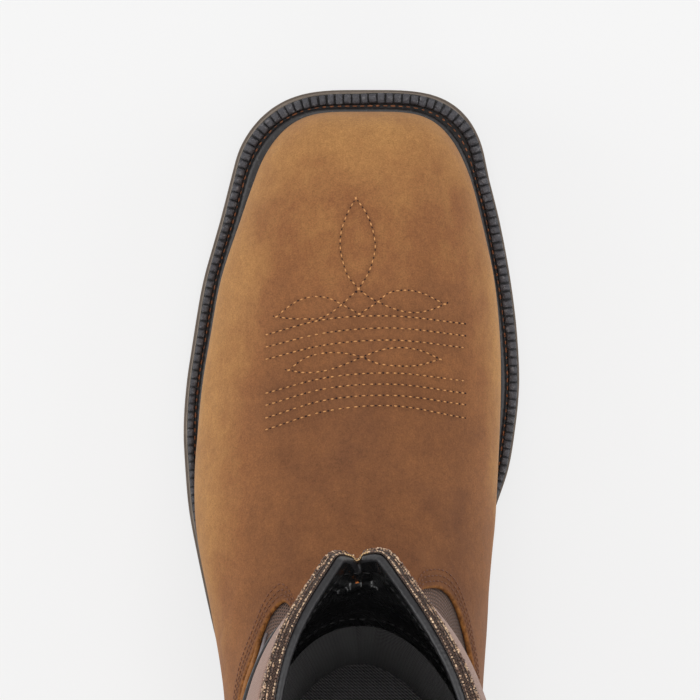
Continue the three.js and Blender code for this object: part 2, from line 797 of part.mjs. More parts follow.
function shaft(grow) {
  const columns = ringTurns.map((turn) => {
    const places = column(turn, under(runOn), 1);
    return grow ? [...places, [turn, over(grow)]] : places;
  });
  return toManifold(sheet(columns, grow, -wall - grow, true));
}

// The least room that any piece leaves round the shaft
const shaftRoom = shaft(clearance / 2);
const clearOfShaft = (geometry) => fromManifold(toManifold(geometry).subtract(shaftRoom).subtract(bed));

// A piece of leather over the shaft, from the sole up to its top edge. Its side edges slant, a gap past the seam.
function overlay(turns, gap, sides, topAt) {
  const [low, high] = seamTurn.map((turn) => radians(turn + gap));
  const end = (side) => {
    const places = column(side * low, under(runOn), topAt(side * high));
    return places.map(([, level]) => [side * mix(low, high, clamp(level / seamLevel)), level]);
  };
  const inside = turns.map((turn) => column(turn, under(runOn), topAt(turn)));
  return clearOfShaft(sheet([end(sides[0]), ...inside, end(sides[1])], featherOut, clearance, false));
}

function edgeLevel(table) {
  const outer = columnCurve(table, "turn", "outer");
  const inner = columnCurve(table, "turn", "inner");
  return (turn) => (turn < 0 ? outer : inner)(Math.abs(turn * 180) / Math.PI);
}

function vamp() {
  const turns = ringTurns.filter((turn) => Math.abs(turn) < radians(seamTurn[0] - 1));
  return overlay(turns, -seamGap / 2, [-1, 1], edgeLevel(vampEdge));
}

function counter() {
  const turns = ringTurns.filter((turn) => Math.abs(turn) > radians(seamTurn[1] + 1));
  const order = [...turns.filter((turn) => turn > 0), ...turns.filter((turn) => turn < 0)];
  return overlay(order, seamGap / 2, [1, -1], edgeLevel(counterEdge));
}

// Trim that follows the rim: a loop of places, each given as level, distance out
function rimTrim(placesAt) {
  const sections = ringTurns.map((turn) => placesAt(turn).map(([level, out]) => faceted(turn, level, out)));
  return clearOfShaft(loft(sections, true));
}

const bandOut = clearance + bandThickness;
const braidOut = clearance + braidThickness;

function collarBand() {
  const edge = braidHeight + clearance;
  const columns = ringTurns.map((turn) => column(turn, belowRim(turn, edge + bandHeight), belowRim(turn, edge)));
  return clearOfShaft(sheet(columns, bandOut, clearance, true));
}

function collarBraid() {
  return rimTrim((turn) => [
    [1, clearance],
    [belowRim(turn, braidHeight * 0.1), clearance + braidThickness * 0.6],
    [belowRim(turn, braidHeight * 0.5), braidOut],
    [belowRim(turn, braidHeight * 0.8), clearance + braidThickness * 0.65],
    [belowRim(turn, braidHeight), clearance],
  ]);
}

function collarBinding() {
  const back = -wall - clearance;
  const face = back - facingThickness;
  return rimTrim((turn) => {
    const rows = column(turn, belowRim(turn, facingHeight), 1).map(([, level]) => level);
    return [
      [over(clearance), 0],
      [over(bindingCap), 0],
      [over(bindingCap), face],
      ...rows.slice(0, -1).reverse().map((level) => [level, face]),
      ...rows.map((level) => [level, back]),
      [over(clearance), back],
    ];
  });
}

// A bead down each side seam of the shaft, from the pull strap to the vamp or the counter
function sidePiping(side) {
  const turn = side * radians(strapTurn);
  const level = edgeLevel(vampEdge)(turn);
  const low = level + 0.008;
  const high = belowRim(turn, braidHeight + bandHeight + strapLength) - 0.008;
  const half = pipingWidth / 2;
  const count = 8;
  const sections = range(count + 1).map((i) => {
    const at = mix(low, high, i / count);
    const width = bodyPoint(turn + 0.01, at).distanceTo(bodyPoint(turn - 0.01, at)) / 0.02;
    const place = (shift, out) => surface(turn + shift / width, at, out);
    return [
      place(-half, clearance),
      place(-half * 0.6, clearance + pipingHeight),
      place(half * 0.6, clearance + pipingHeight),
      place(half, clearance),
    ];
  });
  return loft(sections, false);
}

const upright = new THREE.Vector3(0, 0, 1);

// A webbing strap, sewn on outside and inside, that stands up over the rim as a loop
function pullStrap(side) {
  const turn = side * radians(strapTurn);
  const outside = bandOut + 3 * clearance;
  const inside = -wall - 5 * clearance - facingThickness;
  const half = strapWidth / 2;
  const count = 2;
  const width = bodyPoint(turn + 0.01, 1).distanceTo(bodyPoint(turn - 0.01, 1)) / 0.02;
  const path = (shift) => {
    const at = turn + shift / width;
    const down = (below, out) => surface(at, belowRim(at, below), out);
    const rim = surface(at, 1, 0);
    const up = surface(turn, 1).sub(surface(turn, 0.99)).normalize().lerp(upright, 0.6).normalize();
    const outward = surface(at, 1, 1).sub(rim);
    const over = (out, rise) => rim.clone().addScaledVector(outward, out).addScaledVector(up, rise);
    const top = bindingCap + strapLoop;
    const ease = braidOut + strapEase;
    const mid = (ease + inside) / 2;
    const radius = (ease - inside) / 2;
    const place = (thick) => [
      down(strapLength, outside + thick),
      down(strapLength / 2, outside + thick),
      down(braidHeight + 2 * strapThickness, outside + thick),
      down(braidHeight / 2, ease + thick),
      over(ease + thick, top - radius),
      over(mid + (radius + thick) * 0.7, top - radius + (radius + thick) * 0.7),
      over(mid, top + thick),
      over(mid - (radius + thick) * 0.7, top - radius + (radius + thick) * 0.7),
      over(inside - thick, top - radius),
      over(inside - thick, bindingCap + strapThickness),
      down(strapLength * 0.12, inside - thick),
      down(strapLength / 2, inside - thick),
    ];
    return [...place(strapThickness), ...place(0).reverse()];
  };
  return loft(range(count + 1).map((i) => path(mix(-half, half, i / count))), false);
}

// The footbed fills the inside of the upper, from wall to wall.
function insole() {
  const inner = -wall - 2 * clearance;
  const sections = ringTurns.filter((turn) => turn > 0.01).map((turn) => [
    faceted(-turn, insoleLevel, inner),
    faceted(turn, insoleLevel, inner),
    faceted(turn, under(runOn), inner),
    faceted(-turn, under(runOn), inner),
  ]);
  return clearOfShaft(loft(sections, false));
}

const materials = {
  blackRubber: new THREE.MeshStandardMaterial({ color: 0x262527, roughness: 0.75, metalness: 0 }),
  soleRubber: new THREE.MeshStandardMaterial({ color: 0x33302e, roughness: 0.85, metalness: 0 }),
  midsoleFoam: new THREE.MeshStandardMaterial({ color: 0x6a5f57, roughness: 0.85, metalness: 0 }),
  tanLeather: new THREE.MeshStandardMaterial({ color: 0x9a6b42, roughness: 0.8, metalness: 0 }),
  shaftMesh: new THREE.MeshStandardMaterial({ color: 0x6b5349, roughness: 0.9, metalness: 0 }),
  bandCanvas: new THREE.MeshStandardMaterial({ color: 0xa88b80, roughness: 0.8, metalness: 0 }),
  braid: new THREE.MeshStandardMaterial({ color: 0x8a6f60, roughness: 0.55, metalness: 0 }),
  blackLeather: new THREE.MeshStandardMaterial({ color: 0x2b2a2b, roughness: 0.4, metalness: 0 }),
  strapWebbing: new THREE.MeshStandardMaterial({ color: 0x8a7268, roughness: 0.85, metalness: 0 }),
  footbed: new THREE.MeshStandardMaterial({ color: 0x1d1c1d, roughness: 0.95, metalness: 0 }),
};

const boot = new THREE.Group();

function add(name, geometry, material) {
  const mesh = new THREE.Mesh(geometry, material);
  mesh.name = name;
  boot.add(mesh);
}

add("outsole", outsole(), materials.soleRubber);
add("heel_base", heelPart(liftHeight + clearance, heelHeight), materials.soleRubber);
add("heel_top_lift", heelPart(0, liftHeight), materials.blackRubber);
add("midsole", soleLayer((y) => outsoleTop(y) + clearance, midsoleTop, midsoleInset), materials.midsoleFoam);
add("welt", welt(), materials.blackRubber);
add("rand", rand(), materials.blackRubber);
add("insole", insole(), materials.footbed);
add("upper", fromManifold(shaft(0).subtract(bed)), materials.shaftMesh);
add("vamp", vamp(), materials.tanLeather);
add("counter", counter(), materials.tanLeather);
add("collar_band", collarBand(), materials.bandCanvas);
add("collar_braid", collarBraid(), materials.braid);
add("collar_binding", collarBinding(), materials.blackLeather);
for (const [name, side] of [["outer", -1], ["inner", 1]]) {
  add(`side_piping_${name}`, sidePiping(side), materials.blackLeather);
  add(`pull_strap_${name}`, pullStrap(side), materials.strapWebbing);
}

export default boot;
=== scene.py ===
import math

import bmesh
import bpy
import numpy as np
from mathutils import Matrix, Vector
from mathutils.bvhtree import BVHTree


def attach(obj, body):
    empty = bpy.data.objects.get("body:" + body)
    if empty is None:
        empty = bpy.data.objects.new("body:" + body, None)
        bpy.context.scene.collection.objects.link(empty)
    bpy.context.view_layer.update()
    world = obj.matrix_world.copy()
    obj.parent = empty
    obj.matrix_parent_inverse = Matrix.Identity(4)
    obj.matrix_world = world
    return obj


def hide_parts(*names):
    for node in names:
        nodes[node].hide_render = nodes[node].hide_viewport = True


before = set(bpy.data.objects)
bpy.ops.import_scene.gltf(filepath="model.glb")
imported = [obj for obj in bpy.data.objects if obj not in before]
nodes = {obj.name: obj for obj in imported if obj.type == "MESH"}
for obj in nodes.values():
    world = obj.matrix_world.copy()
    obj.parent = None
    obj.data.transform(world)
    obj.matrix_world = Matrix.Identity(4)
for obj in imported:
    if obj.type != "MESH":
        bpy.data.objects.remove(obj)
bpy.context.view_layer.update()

print("frame loaded,", len(nodes), "nodes")

form = {
    "soleLength": 305.0, "ballWidth": 116.0, "collarHeight": 300.0, "legWidth": 78.0, "collarDepth": 152.0,
    "vampHeight": 64.0, "heelHeight": 26.0, "heelLength": 76.0, "treadThickness": 11.0, "shankThickness": 6.0,
    "midsoleThickness": 4.5, "toeSpring": 12.0, "shankFront": 0.545, "treadFront": 0.703, "toeRound": 24.0,
    "toePower": 0.27, "heelRound": 36.0, "featherRise": 32.0, "ridgeLean": 3.0, "frontDip": 0.848,
    "backDip": 0.875, "rimBow": 1.3, "rimPinch": 0.9, "rimPinchFrom": 0.9, "rimBlunt": 0.26, "throatLevel": 0.6,
    "throatRise": 0.34, "legBlendFrom": 0.09, "legBlendTo": 0.36, "gap": 0.3, "wall": 2.4, "leather": 1.8,
}
halfLength = form["soleLength"] / 2
halfBall = form["ballWidth"] / 2

# along, sole's edge outer and inner, how far the upper stands in, wall of the upper outer and inner
footTable = [
    (0.0, 0.603, 0.707, 0.06, 0.555, 0.645), (0.082, 0.603, 0.707, 0.06, 0.565, 0.65),
    (0.148, 0.612, 0.69, 0.065, 0.595, 0.655), (0.213, 0.634, 0.638, 0.1, 0.635, 0.672),
    (0.279, 0.681, 0.595, 0.14, 0.672, 0.7), (0.344, 0.75, 0.603, 0.158, 0.705, 0.722),
    (0.41, 0.836, 0.66, 0.158, 0.765, 0.748), (0.475, 0.914, 0.764, 0.16, 0.838, 0.776),
    (0.525, 0.966, 0.85, 0.163, 0.876, 0.806), (0.574, 0.99, 0.936, 0.166, 0.886, 0.827),
    (0.616, 1.0, 0.974, 0.17, 0.874, 0.842), (0.669, 0.983, 1.0, 0.174, 0.85, 0.85),
    (0.718, 0.945, 0.991, 0.178, 0.81, 0.85), (0.785, 0.884, 0.95, 0.182, 0.743, 0.819),
    (0.852, 0.784, 0.884, 0.186, 0.616, 0.736), (0.92, 0.69, 0.797, 0.19, 0.475, 0.64),
    (1.0, 0.572, 0.755, 0.19, 0.34, 0.55),
]
# along, rise, round, power: the ridge of the vamp, the front of the shaft and the back of the boot
ridgeTable = [
    (0.961, 0.0, 0.36, 0.22), (0.965, 0.144, 0.36, 0.22), (0.961, 0.294, 0.38, 0.23), (0.9459, 0.458, 0.42, 0.28),
    (0.9197, 0.6, 0.48, 0.36), (0.8738, 0.74, 0.59, 0.43), (0.8115, 0.85, 0.7, 0.47), (0.7295, 0.935, 0.78, 0.5),
    (0.6475, 1.0, 0.81, 0.5), (0.5656, 1.11, 0.83, 0.5), (0.5, 1.23, 0.86, 0.5), (0.4443, 1.345, 0.9, 0.5),
]
shaftTable = [
    (0.409, 0.322, 0.7, 0.5), (0.39, 0.3945, 0.73, 0.5), (0.385, 0.4745, 0.78, 0.52), (0.39, 0.5697, 0.84, 0.54),
    (0.407, 0.665, 0.9, 0.55), (0.443, 0.76, 0.92, 0.55), (0.4957, 0.848, 0.92, 0.55), (0.558, 0.95, 0.92, 0.55),
    (0.59, 1.01, 0.92, 0.55),
]
backTable = [
    (0.0164, 0.0, 0.446, 0.5), (0.0115, 0.046, 0.446, 0.5), (0.0098, 0.095, 0.46, 0.5), (0.018, 0.171, 0.486, 0.5),
    (0.036, 0.267, 0.568, 0.5), (0.0443, 0.362, 0.65, 0.52), (0.0426, 0.457, 0.73, 0.54),
    (0.0344, 0.609, 0.81, 0.56), (0.0246, 0.762, 0.865, 0.58), (0.0164, 0.88, 0.92, 0.6), (0.0082, 1.01, 0.94, 0.6),
]
legTable = [  # level, half width, lean
    (0.0, 0.87, 0.3), (0.3, 0.87, 0.3), (0.45, 0.88, 0.35), (0.6, 0.9, 0.45), (0.75, 0.94, 0.6), (0.87, 0.965, 0.65),
    (0.94, 0.94, 0.78), (1.0, 0.77, 1.0),
]
shiftTable = [(0.0, 4.0), (0.22, 6.3), (0.36, 5.4), (0.44, 3.0), (0.492, 1.8), (0.56, 0.2), (0.6, 0.0)]
vampEdgeTable = [  # turn in degrees, level on the outer and the inner side
    (0, 0.63, 0.63), (10, 0.6, 0.6), (20, 0.545, 0.545), (28, 0.475, 0.475), (36, 0.432, 0.423),
    (43, 0.422, 0.401), (60, 0.418, 0.36), (74, 0.402, 0.348), (100, 0.38, 0.34), (128, 0.36, 0.36),
]
counterEdgeTable = [(123, 0.36, 0.36), (140, 0.42, 0.42), (158, 0.5, 0.5), (180, 0.55, 0.55)]
seam = {"lowTurn": 123.0, "highTurn": 127.5, "level": 0.36, "gap": 0.25}


def smoothStep(low, high, value):
    t = np.clip((value - low) / (high - low), 0, 1)
    return t * t * (3 - 2 * t)


def mix(a, b, t):
    return a + (b - a) * t


def smoothCurve(xs, ys):
    xs, ys = np.array(xs, float), np.array(ys, float)
    widths = np.diff(xs)
    steps = np.diff(ys) / widths
    slopes = np.concatenate([steps[:1], np.zeros(len(xs) - 2), steps[-1:]])
    slopes[1:-1] = (steps[:-1] * widths[1:] + steps[1:] * widths[:-1]) / (widths[:-1] + widths[1:])

    def at(x):
        x = np.asarray(x, float)
        inside = np.clip(x, xs[0], xs[-1])
        i = np.clip(np.searchsorted(xs, inside, side="left") - 1, 0, len(xs) - 2)
        t = (inside - xs[i]) / widths[i]
        rise = (3 - 2 * t) * t * t
        bend = t * (1 - t) ** 2 * widths[i] * slopes[i] - t * t * (1 - t) * widths[i] * slopes[i + 1]
        beyond = np.minimum(x - xs[0], 0) * slopes[0] + np.maximum(x - xs[-1], 0) * slopes[-1]
        return ys[i] * (1 - rise) + ys[i + 1] * rise + bend + beyond

    return at


def tableCurve(table, column):
    return smoothCurve([row[0] for row in table], [row[column] for row in table])


soleOuter, soleInner, footInset, wallOuter, wallInner = (tableCurve(footTable, i) for i in range(1, 6))
legHalf, legLean = tableCurve(legTable, 1), tableCurve(legTable, 2)
rimShift = tableCurve(shiftTable, 1)


def alongAt(y):
    return np.clip((y + halfLength) / form["soleLength"], 0, 1)


def yAt(share):
    return share * form["soleLength"] - halfLength


def soleBottom(y):
    breast = form["heelLength"] - halfLength
    arch = (form["heelHeight"] + form["gap"]) * (1 - smoothStep(breast, yAt(form["shankFront"]), y))
    lift = np.clip((y - yAt(form["treadFront"])) / (halfLength - yAt(form["treadFront"])), 0, 1)
    return arch + form["toeSpring"] * lift * lift


def outsoleTop(y):
    share = smoothStep(form["heelLength"] - halfLength, yAt(form["shankFront"]), y)
    return soleBottom(y) + mix(form["shankThickness"], form["treadThickness"], share)


def feather(y):
    return outsoleTop(y) + 2 * form["gap"] + form["midsoleThickness"]


seat = float(feather(-halfLength))
shaftHeight = form["collarHeight"] - seat


def soleEdge(y, side, inset=0.0):
    share = alongAt(y)
    outer, inner = soleOuter(share) * halfBall, soleInner(share) * halfBall
    middle = (inner - outer) / 2
    half = np.where(side > 0, inner, outer) - inset
    toe = np.clip((halfLength - inset - y) / form["toeRound"], 0, 1)
    heel = np.clip((y + halfLength - inset) / form["heelRound"], 0, 1)
    rounded = (1 - (1 - toe) ** 2) ** form["toePower"] * (1 - (1 - heel) ** 2) ** 0.5
    return middle + side * np.maximum(0, half - side * middle) * rounded


# The front and the back line in the side view, as dense runs of y, z, round and power
def profileLine(rows):
    rows = np.array(rows, float)
    distance = np.concatenate([[0], np.cumsum(np.hypot(*np.diff(rows[:, :2], axis=0).T))])
    at = np.linspace(0, distance[-1], 181)
    return np.stack([smoothCurve(distance, rows[:, i])(at) for i in range(4)] + [at], 1)


def ridgeRow(along, rise, deep, power):
    y = yAt(along)
    return (y, float(feather(y)) + rise * form["vampHeight"], deep * halfBall, power)


def legRow(along, rise, deep, power):
    return (yAt(along), seat + rise * shaftHeight, deep * form["collarDepth"] / 2, power)


frontLine = profileLine([ridgeRow(*row) for row in ridgeTable] + [legRow(*row) for row in shaftTable])
backLine = profileLine([legRow(*row) for row in backTable])


def passes(line, z):
    i = next(k for k in range(len(line) // 2 + 1, len(line)) if line[k, 1] >= z)
    return mix(line[i - 1, 4], line[i, 4], (z - line[i - 1, 1]) / (line[i, 1] - line[i - 1, 1]))


frontEnd = passes(frontLine, seat + form["frontDip"] * shaftHeight)
backEnd = passes(backLine, seat + form["backDip"] * shaftHeight)
throatFront = frontLine[np.argmin(frontLine[:, 0]), 4]
throatBack = backEnd * form["throatRise"] / form["backDip"]


def ringEnds(level):
    low = np.clip(level / form["throatLevel"], 0, 1)
    high = np.clip((level - form["throatLevel"]) / (1 - form["throatLevel"]), 0, 1)
    front = mix(throatFront * low, frontEnd, high)
    back = mix(throatBack * low, backEnd, high)
    pick = lambda line, at, column: np.interp(at, line[:, 4], line[:, column])
    return pick(frontLine, front, 0), pick(frontLine, front, 1), pick(frontLine, front, 3), pick(backLine, back, 0), \
        pick(backLine, back, 1)


rimEnds = ringEnds(np.array(1.0))
baseEnds = ringEnds(np.array(0.0))
rimRise = form["collarHeight"] - (rimEnds[1] + rimEnds[4]) / 2


def ringPoint(turn, level):
    frontY, frontZ, power, backY, backZ = ringEnds(level)
    base = (1 - np.cos(turn)) / 2
    s = base ** (1 + (0.5 / power - 1) * (1 - base) ** 3)
    footLine = feather(mix(baseEnds[0], baseEnds[3], s))
    sag = (mix(baseEnds[1], baseEnds[4], s) - footLine) * (1 - level) ** 4
    bow = rimRise * (2 * np.sqrt(s * (1 - s))) ** form["rimBow"] * smoothStep(form["throatLevel"], 1, level) ** 2
    return mix(frontY, backY, s), mix(frontZ, backZ, s) - sag + bow


def rounding(line, y, z):
    start, step = line[:-1, :2], np.diff(line[:, :2], axis=0)
    square = (step ** 2).sum(1)
    out = np.empty(len(y))
    for lo in range(0, len(y), 20000):
        dy = y[lo:lo + 20000, None] - start[:, 0]
        dz = z[lo:lo + 20000, None] - start[:, 1]
        t = np.clip((dy * step[:, 0] + dz * step[:, 1]) / square, 0, 1)
        far = (dy - t * step[:, 0]) ** 2 + (dz - t * step[:, 1]) ** 2
        best = far.argmin(1)
        row = np.arange(len(best))
        at = t[row, best]
        reach = np.clip(np.sqrt(far[row, best]) / mix(line[best, 2], line[best + 1, 2], at), 0, 1)
        out[lo:lo + 20000] = (1 - (1 - reach) ** 2) ** mix(line[best, 3], line[best + 1, 3], at)
    return out


def wallWidth(y, z, level, side):
    share = alongAt(y)
    edge = (soleInner if side > 0 else soleOuter)(share) - footInset(share)
    swell = (wallInner if side > 0 else wallOuter)(share)
    footHalf = mix(edge, swell, smoothStep(-2, form["featherRise"], z - feather(y))) * halfBall
    legSide = legHalf(level) * form["legWidth"] / 2 + side * legLean(level) * rimShift(share)
    return mix(footHalf, legSide, smoothStep(form["legBlendFrom"], form["legBlendTo"], (z - seat) / shaftHeight))


def bodyPoint(turn, level):
    side = np.where(turn < 0, -1, 1)
    y, z = ringPoint(turn, level)
    inner, outer = wallWidth(y, z, level, 1), wallWidth(y, z, level, -1)
    pinch = 1 + form["rimPinch"] * smoothStep(form["rimPinchFrom"], 1, level)
    full = rounding(frontLine, y, z) ** pinch
    blunt = form["rimBlunt"] * smoothStep(form["rimPinchFrom"], 1, level)
    full = (full + blunt * (1 - np.exp(-full / 0.05)) * np.exp(-full / 0.3)) * rounding(backLine, y, z)
    onRidge = smoothStep(0.3, 0.7, alongAt(y)) * smoothStep(0, 0.3, 0.95 - alongAt(y))
    x = (inner - outer) / 2 + side * full * (inner + outer) / 2 + form["ridgeLean"] * (1 - full) * onRidge
    return np.stack([x, y, z], 1)


def unit(vectors):
    return vectors / np.maximum(np.linalg.norm(vectors, axis=-1, keepdims=True), 1e-9)


def wrapTurn(turn):
    return (turn + math.pi) % (2 * math.pi) - math.pi


# Places on the upper, moved out along its normal. Arrays of any one shape, or plain numbers.
def skin(turn, level, out=0.0, alsoNormal=False):
    turn, level, out = np.broadcast_arrays(np.asarray(turn, float), np.asarray(level, float), np.asarray(out, float))
    shape = turn.shape
    turn, level, out = turn.ravel(), level.ravel(), out.ravel()
    at, h = np.clip(level, 0, 1), 0.004
    up = unit(bodyPoint(turn, np.clip(at + h, 0, 1)) - bodyPoint(turn, np.clip(at - h, 0, 1)))
    around = bodyPoint(wrapTurn(turn + 4 * h), at) - bodyPoint(wrapTurn(turn - 4 * h), at)
    normal = unit(np.cross(up, around))
    points = bodyPoint(turn, at) + normal * out[:, None]
    points += up * (np.maximum(level - 1, 0) * form["legWidth"])[:, None]
    points[:, 2] += np.minimum(level, 0) * form["legWidth"]
    points = points.reshape(shape + (3,))
    return (points, normal.reshape(shape + (3,))) if alsoNormal else points


def levelPerMm(turn, level):
    step = 0.02
    low, high = np.clip(level - step / 2, 0, 1 - step), np.clip(level + step / 2, step, 1)
    length = np.linalg.norm(bodyPoint(turn, high) - bodyPoint(turn, low), axis=1)
    return step / np.maximum(length, 1e-6)


def edgeLevel(table):
    outer, inner = tableCurve(table, 1), tableCurve(table, 2)
    return lambda turn: np.where(turn < 0, outer(np.abs(np.degrees(turn))), inner(np.abs(np.degrees(turn))))


vampEdge, counterEdge = edgeLevel(vampEdgeTable), edgeLevel(counterEdgeTable)


# Meshes

def meshObject(name, points, faces, smooth=True):
    mesh = bpy.data.meshes.new(name)
    mesh.from_pydata((np.asarray(points) / 1000).tolist(), [], faces)
    mesh.polygons.foreach_set("use_smooth", [smooth] * len(mesh.polygons))
    mesh.update()
    obj = bpy.data.objects.new(name, mesh)
    bpy.context.scene.collection.objects.link(obj)
    return obj


def gridFaces(rows, columns, closedRows=False, closedColumns=False):
    i, j = np.meshgrid(np.arange(rows if closedRows else rows - 1),
                       np.arange(columns if closedColumns else columns - 1), indexing="ij")
    i, j = i.ravel(), j.ravel()
    k, m = (i + 1) % rows, (j + 1) % columns
    return np.stack([i * columns + j, k * columns + j, k * columns + m, i * columns + m], 1).tolist()


# Sections, each one closed loop: a ring of them is a closed body, and an open run gets its two ends capped
def loftObject(name, sections, closed):
    rows, columns = sections.shape[:2]
    faces = gridFaces(rows, columns, closedRows=closed, closedColumns=True)
    if not closed:
        faces += [list(range(columns)), [(rows - 1) * columns + j for j in reversed(range(columns))]]
    obj = meshObject(name, sections.reshape(-1, 3), faces)
    bm = bmesh.new()
    bm.from_mesh(obj.data)
    bmesh.ops.recalc_face_normals(bm, faces=bm.faces)
    if bm.calc_volume(signed=True) < 0:
        bmesh.ops.reverse_faces(bm, faces=bm.faces)
    bm.to_mesh(obj.data)
    bm.free()
    return obj


def setAttribute(obj, name, values, kind="FLOAT"):
    attribute = obj.data.attributes.new(name, kind, "POINT")
    values = np.asarray(values, np.float32)
    attribute.data.foreach_set("vector" if kind == "FLOAT_VECTOR" else "value", values.ravel())


def sharpenByAngle(obj, degrees):
    obj.data.set_sharp_from_angle(angle=math.radians(degrees))


def dress(obj, material, node=None):
    materials = material if isinstance(material, list) else [material]
    obj.data.materials.clear()
    for m in materials:
        obj.data.materials.append(m)
    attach(obj, "root")
    if node:
        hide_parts(*([node] if isinstance(node, str) else node))
    return obj


# A smooth copy of a CAD node with softened edges
def softCopy(nodeName, name, bevel, segments=2, angle=35):
    mesh = nodes[nodeName].data.copy()
    obj = bpy.data.objects.new(name, mesh)
    bpy.context.scene.collection.objects.link(obj)
    bm = bmesh.new()
    bm.from_mesh(mesh)
    bmesh.ops.remove_doubles(bm, verts=bm.verts, dist=1e-6)
    bmesh.ops.dissolve_limit(bm, angle_limit=math.radians(0.4), verts=bm.verts, edges=bm.edges)
    bm.to_mesh(mesh)
    bm.free()
    mesh.polygons.foreach_set("use_smooth", [True] * len(mesh.polygons))
    modifier = obj.modifiers.new("softEdges", "BEVEL")
    modifier.width, modifier.segments = bevel / 1000, segments
    modifier.limit_method, modifier.angle_limit = "ANGLE", math.radians(angle)
    modifier.harden_normals = False
    bakeModifiers(obj)
    sharpenByAngle(obj, 40)
    return obj


def bakeModifiers(obj):
    bpy.context.view_layer.update()
    graph = bpy.context.evaluated_depsgraph_get()
    mesh = bpy.data.meshes.new_from_object(obj.evaluated_get(graph), depsgraph=graph)
    obj.modifiers.clear()
    obj.data = mesh


# Materials

def addNode(tree, kind, inputs=None, **settings):
    node = tree.nodes.new(kind)
    for key, value in settings.items():
        setattr(node, key, value)
    for key, value in (inputs or {}).items():
        if isinstance(value, bpy.types.NodeSocket):
            tree.links.new(value, node.inputs[key])
        else:
            node.inputs[key].default_value = value
    return node


def newMaterial(name, **constants):
    material = bpy.data.materials.new(name)
    material.use_nodes = True
    tree = material.node_tree
    shader = tree.nodes["Principled BSDF"]
    for key, value in constants.items():
        shader.inputs[key].default_value = value
    return material, tree, shader


def srgb(red, green, blue):
    linear = [(c / 255 / 12.92) if c <= 10 else ((c / 255 + 0.055) / 1.055) ** 2.4 for c in (red, green, blue)]
    return (*linear, 1.0)


def math2(tree, operation, a, b=0.0):
    return addNode(tree, "ShaderNodeMath", {0: a, 1: b}, operation=operation).outputs[0]


def mixColour(tree, factor, a, b, blend="MIX"):
    node = addNode(tree, "ShaderNodeMix", {"Factor": factor}, data_type="RGBA", blend_type=blend)
    for socket, value in ((node.inputs[6], a), (node.inputs[7], b)):
        if isinstance(value, bpy.types.NodeSocket):
            tree.links.new(value, socket)
        else:
            socket.default_value = value
    return node.outputs[2]


def noise(tree, coordinate, scale, detail=2.0, rough=0.5, stretch=None, distortion=0.0):
    if stretch:
        coordinate = addNode(tree, "ShaderNodeMapping", {"Vector": coordinate, "Scale": stretch}).outputs[0]
    inputs = {"Vector": coordinate, "Scale": scale, "Detail": detail, "Roughness": rough, "Distortion": distortion}
    return addNode(tree, "ShaderNodeTexNoise", inputs).outputs[0]


def remap(tree, value, low, high, toLow=0.0, toHigh=1.0):
    inputs = {"Value": value, "From Min": low, "From Max": high, "To Min": toLow, "To Max": toHigh}
    return addNode(tree, "ShaderNodeMapRange", inputs).outputs["Result"]


def objectCoordinate(tree):
    return addNode(tree, "ShaderNodeTexCoord").outputs["Object"]


def attribute(tree, name, output="Fac"):
    return addNode(tree, "ShaderNodeAttribute", attribute_name=name).outputs[output]


def addBump(tree, shader, height, distance, strength=1.0, under=None):
    inputs = {"Height": height, "Distance": distance, "Strength": strength}
    if under is not None:
        inputs["Normal"] = under
    bump = addNode(tree, "ShaderNodeBump", inputs)
    tree.links.new(bump.outputs[0], shader.inputs["Normal"])
    return bump.outputs[0]


# The top of the tone ramp is the colour of the painted side sheen and toe highlight.
leatherLook = {
    "deep": srgb(101, 62, 38), "warm": srgb(138, 90, 54), "tan": srgb(176, 128, 76), "edge": srgb(96, 55, 24),
    # The darkest colour goes to burnished leather and to painted shade along stitches, edges and the welt.
    "raw": srgb(158, 104, 52), "burnishAndShade": srgb(66, 38, 22),
}


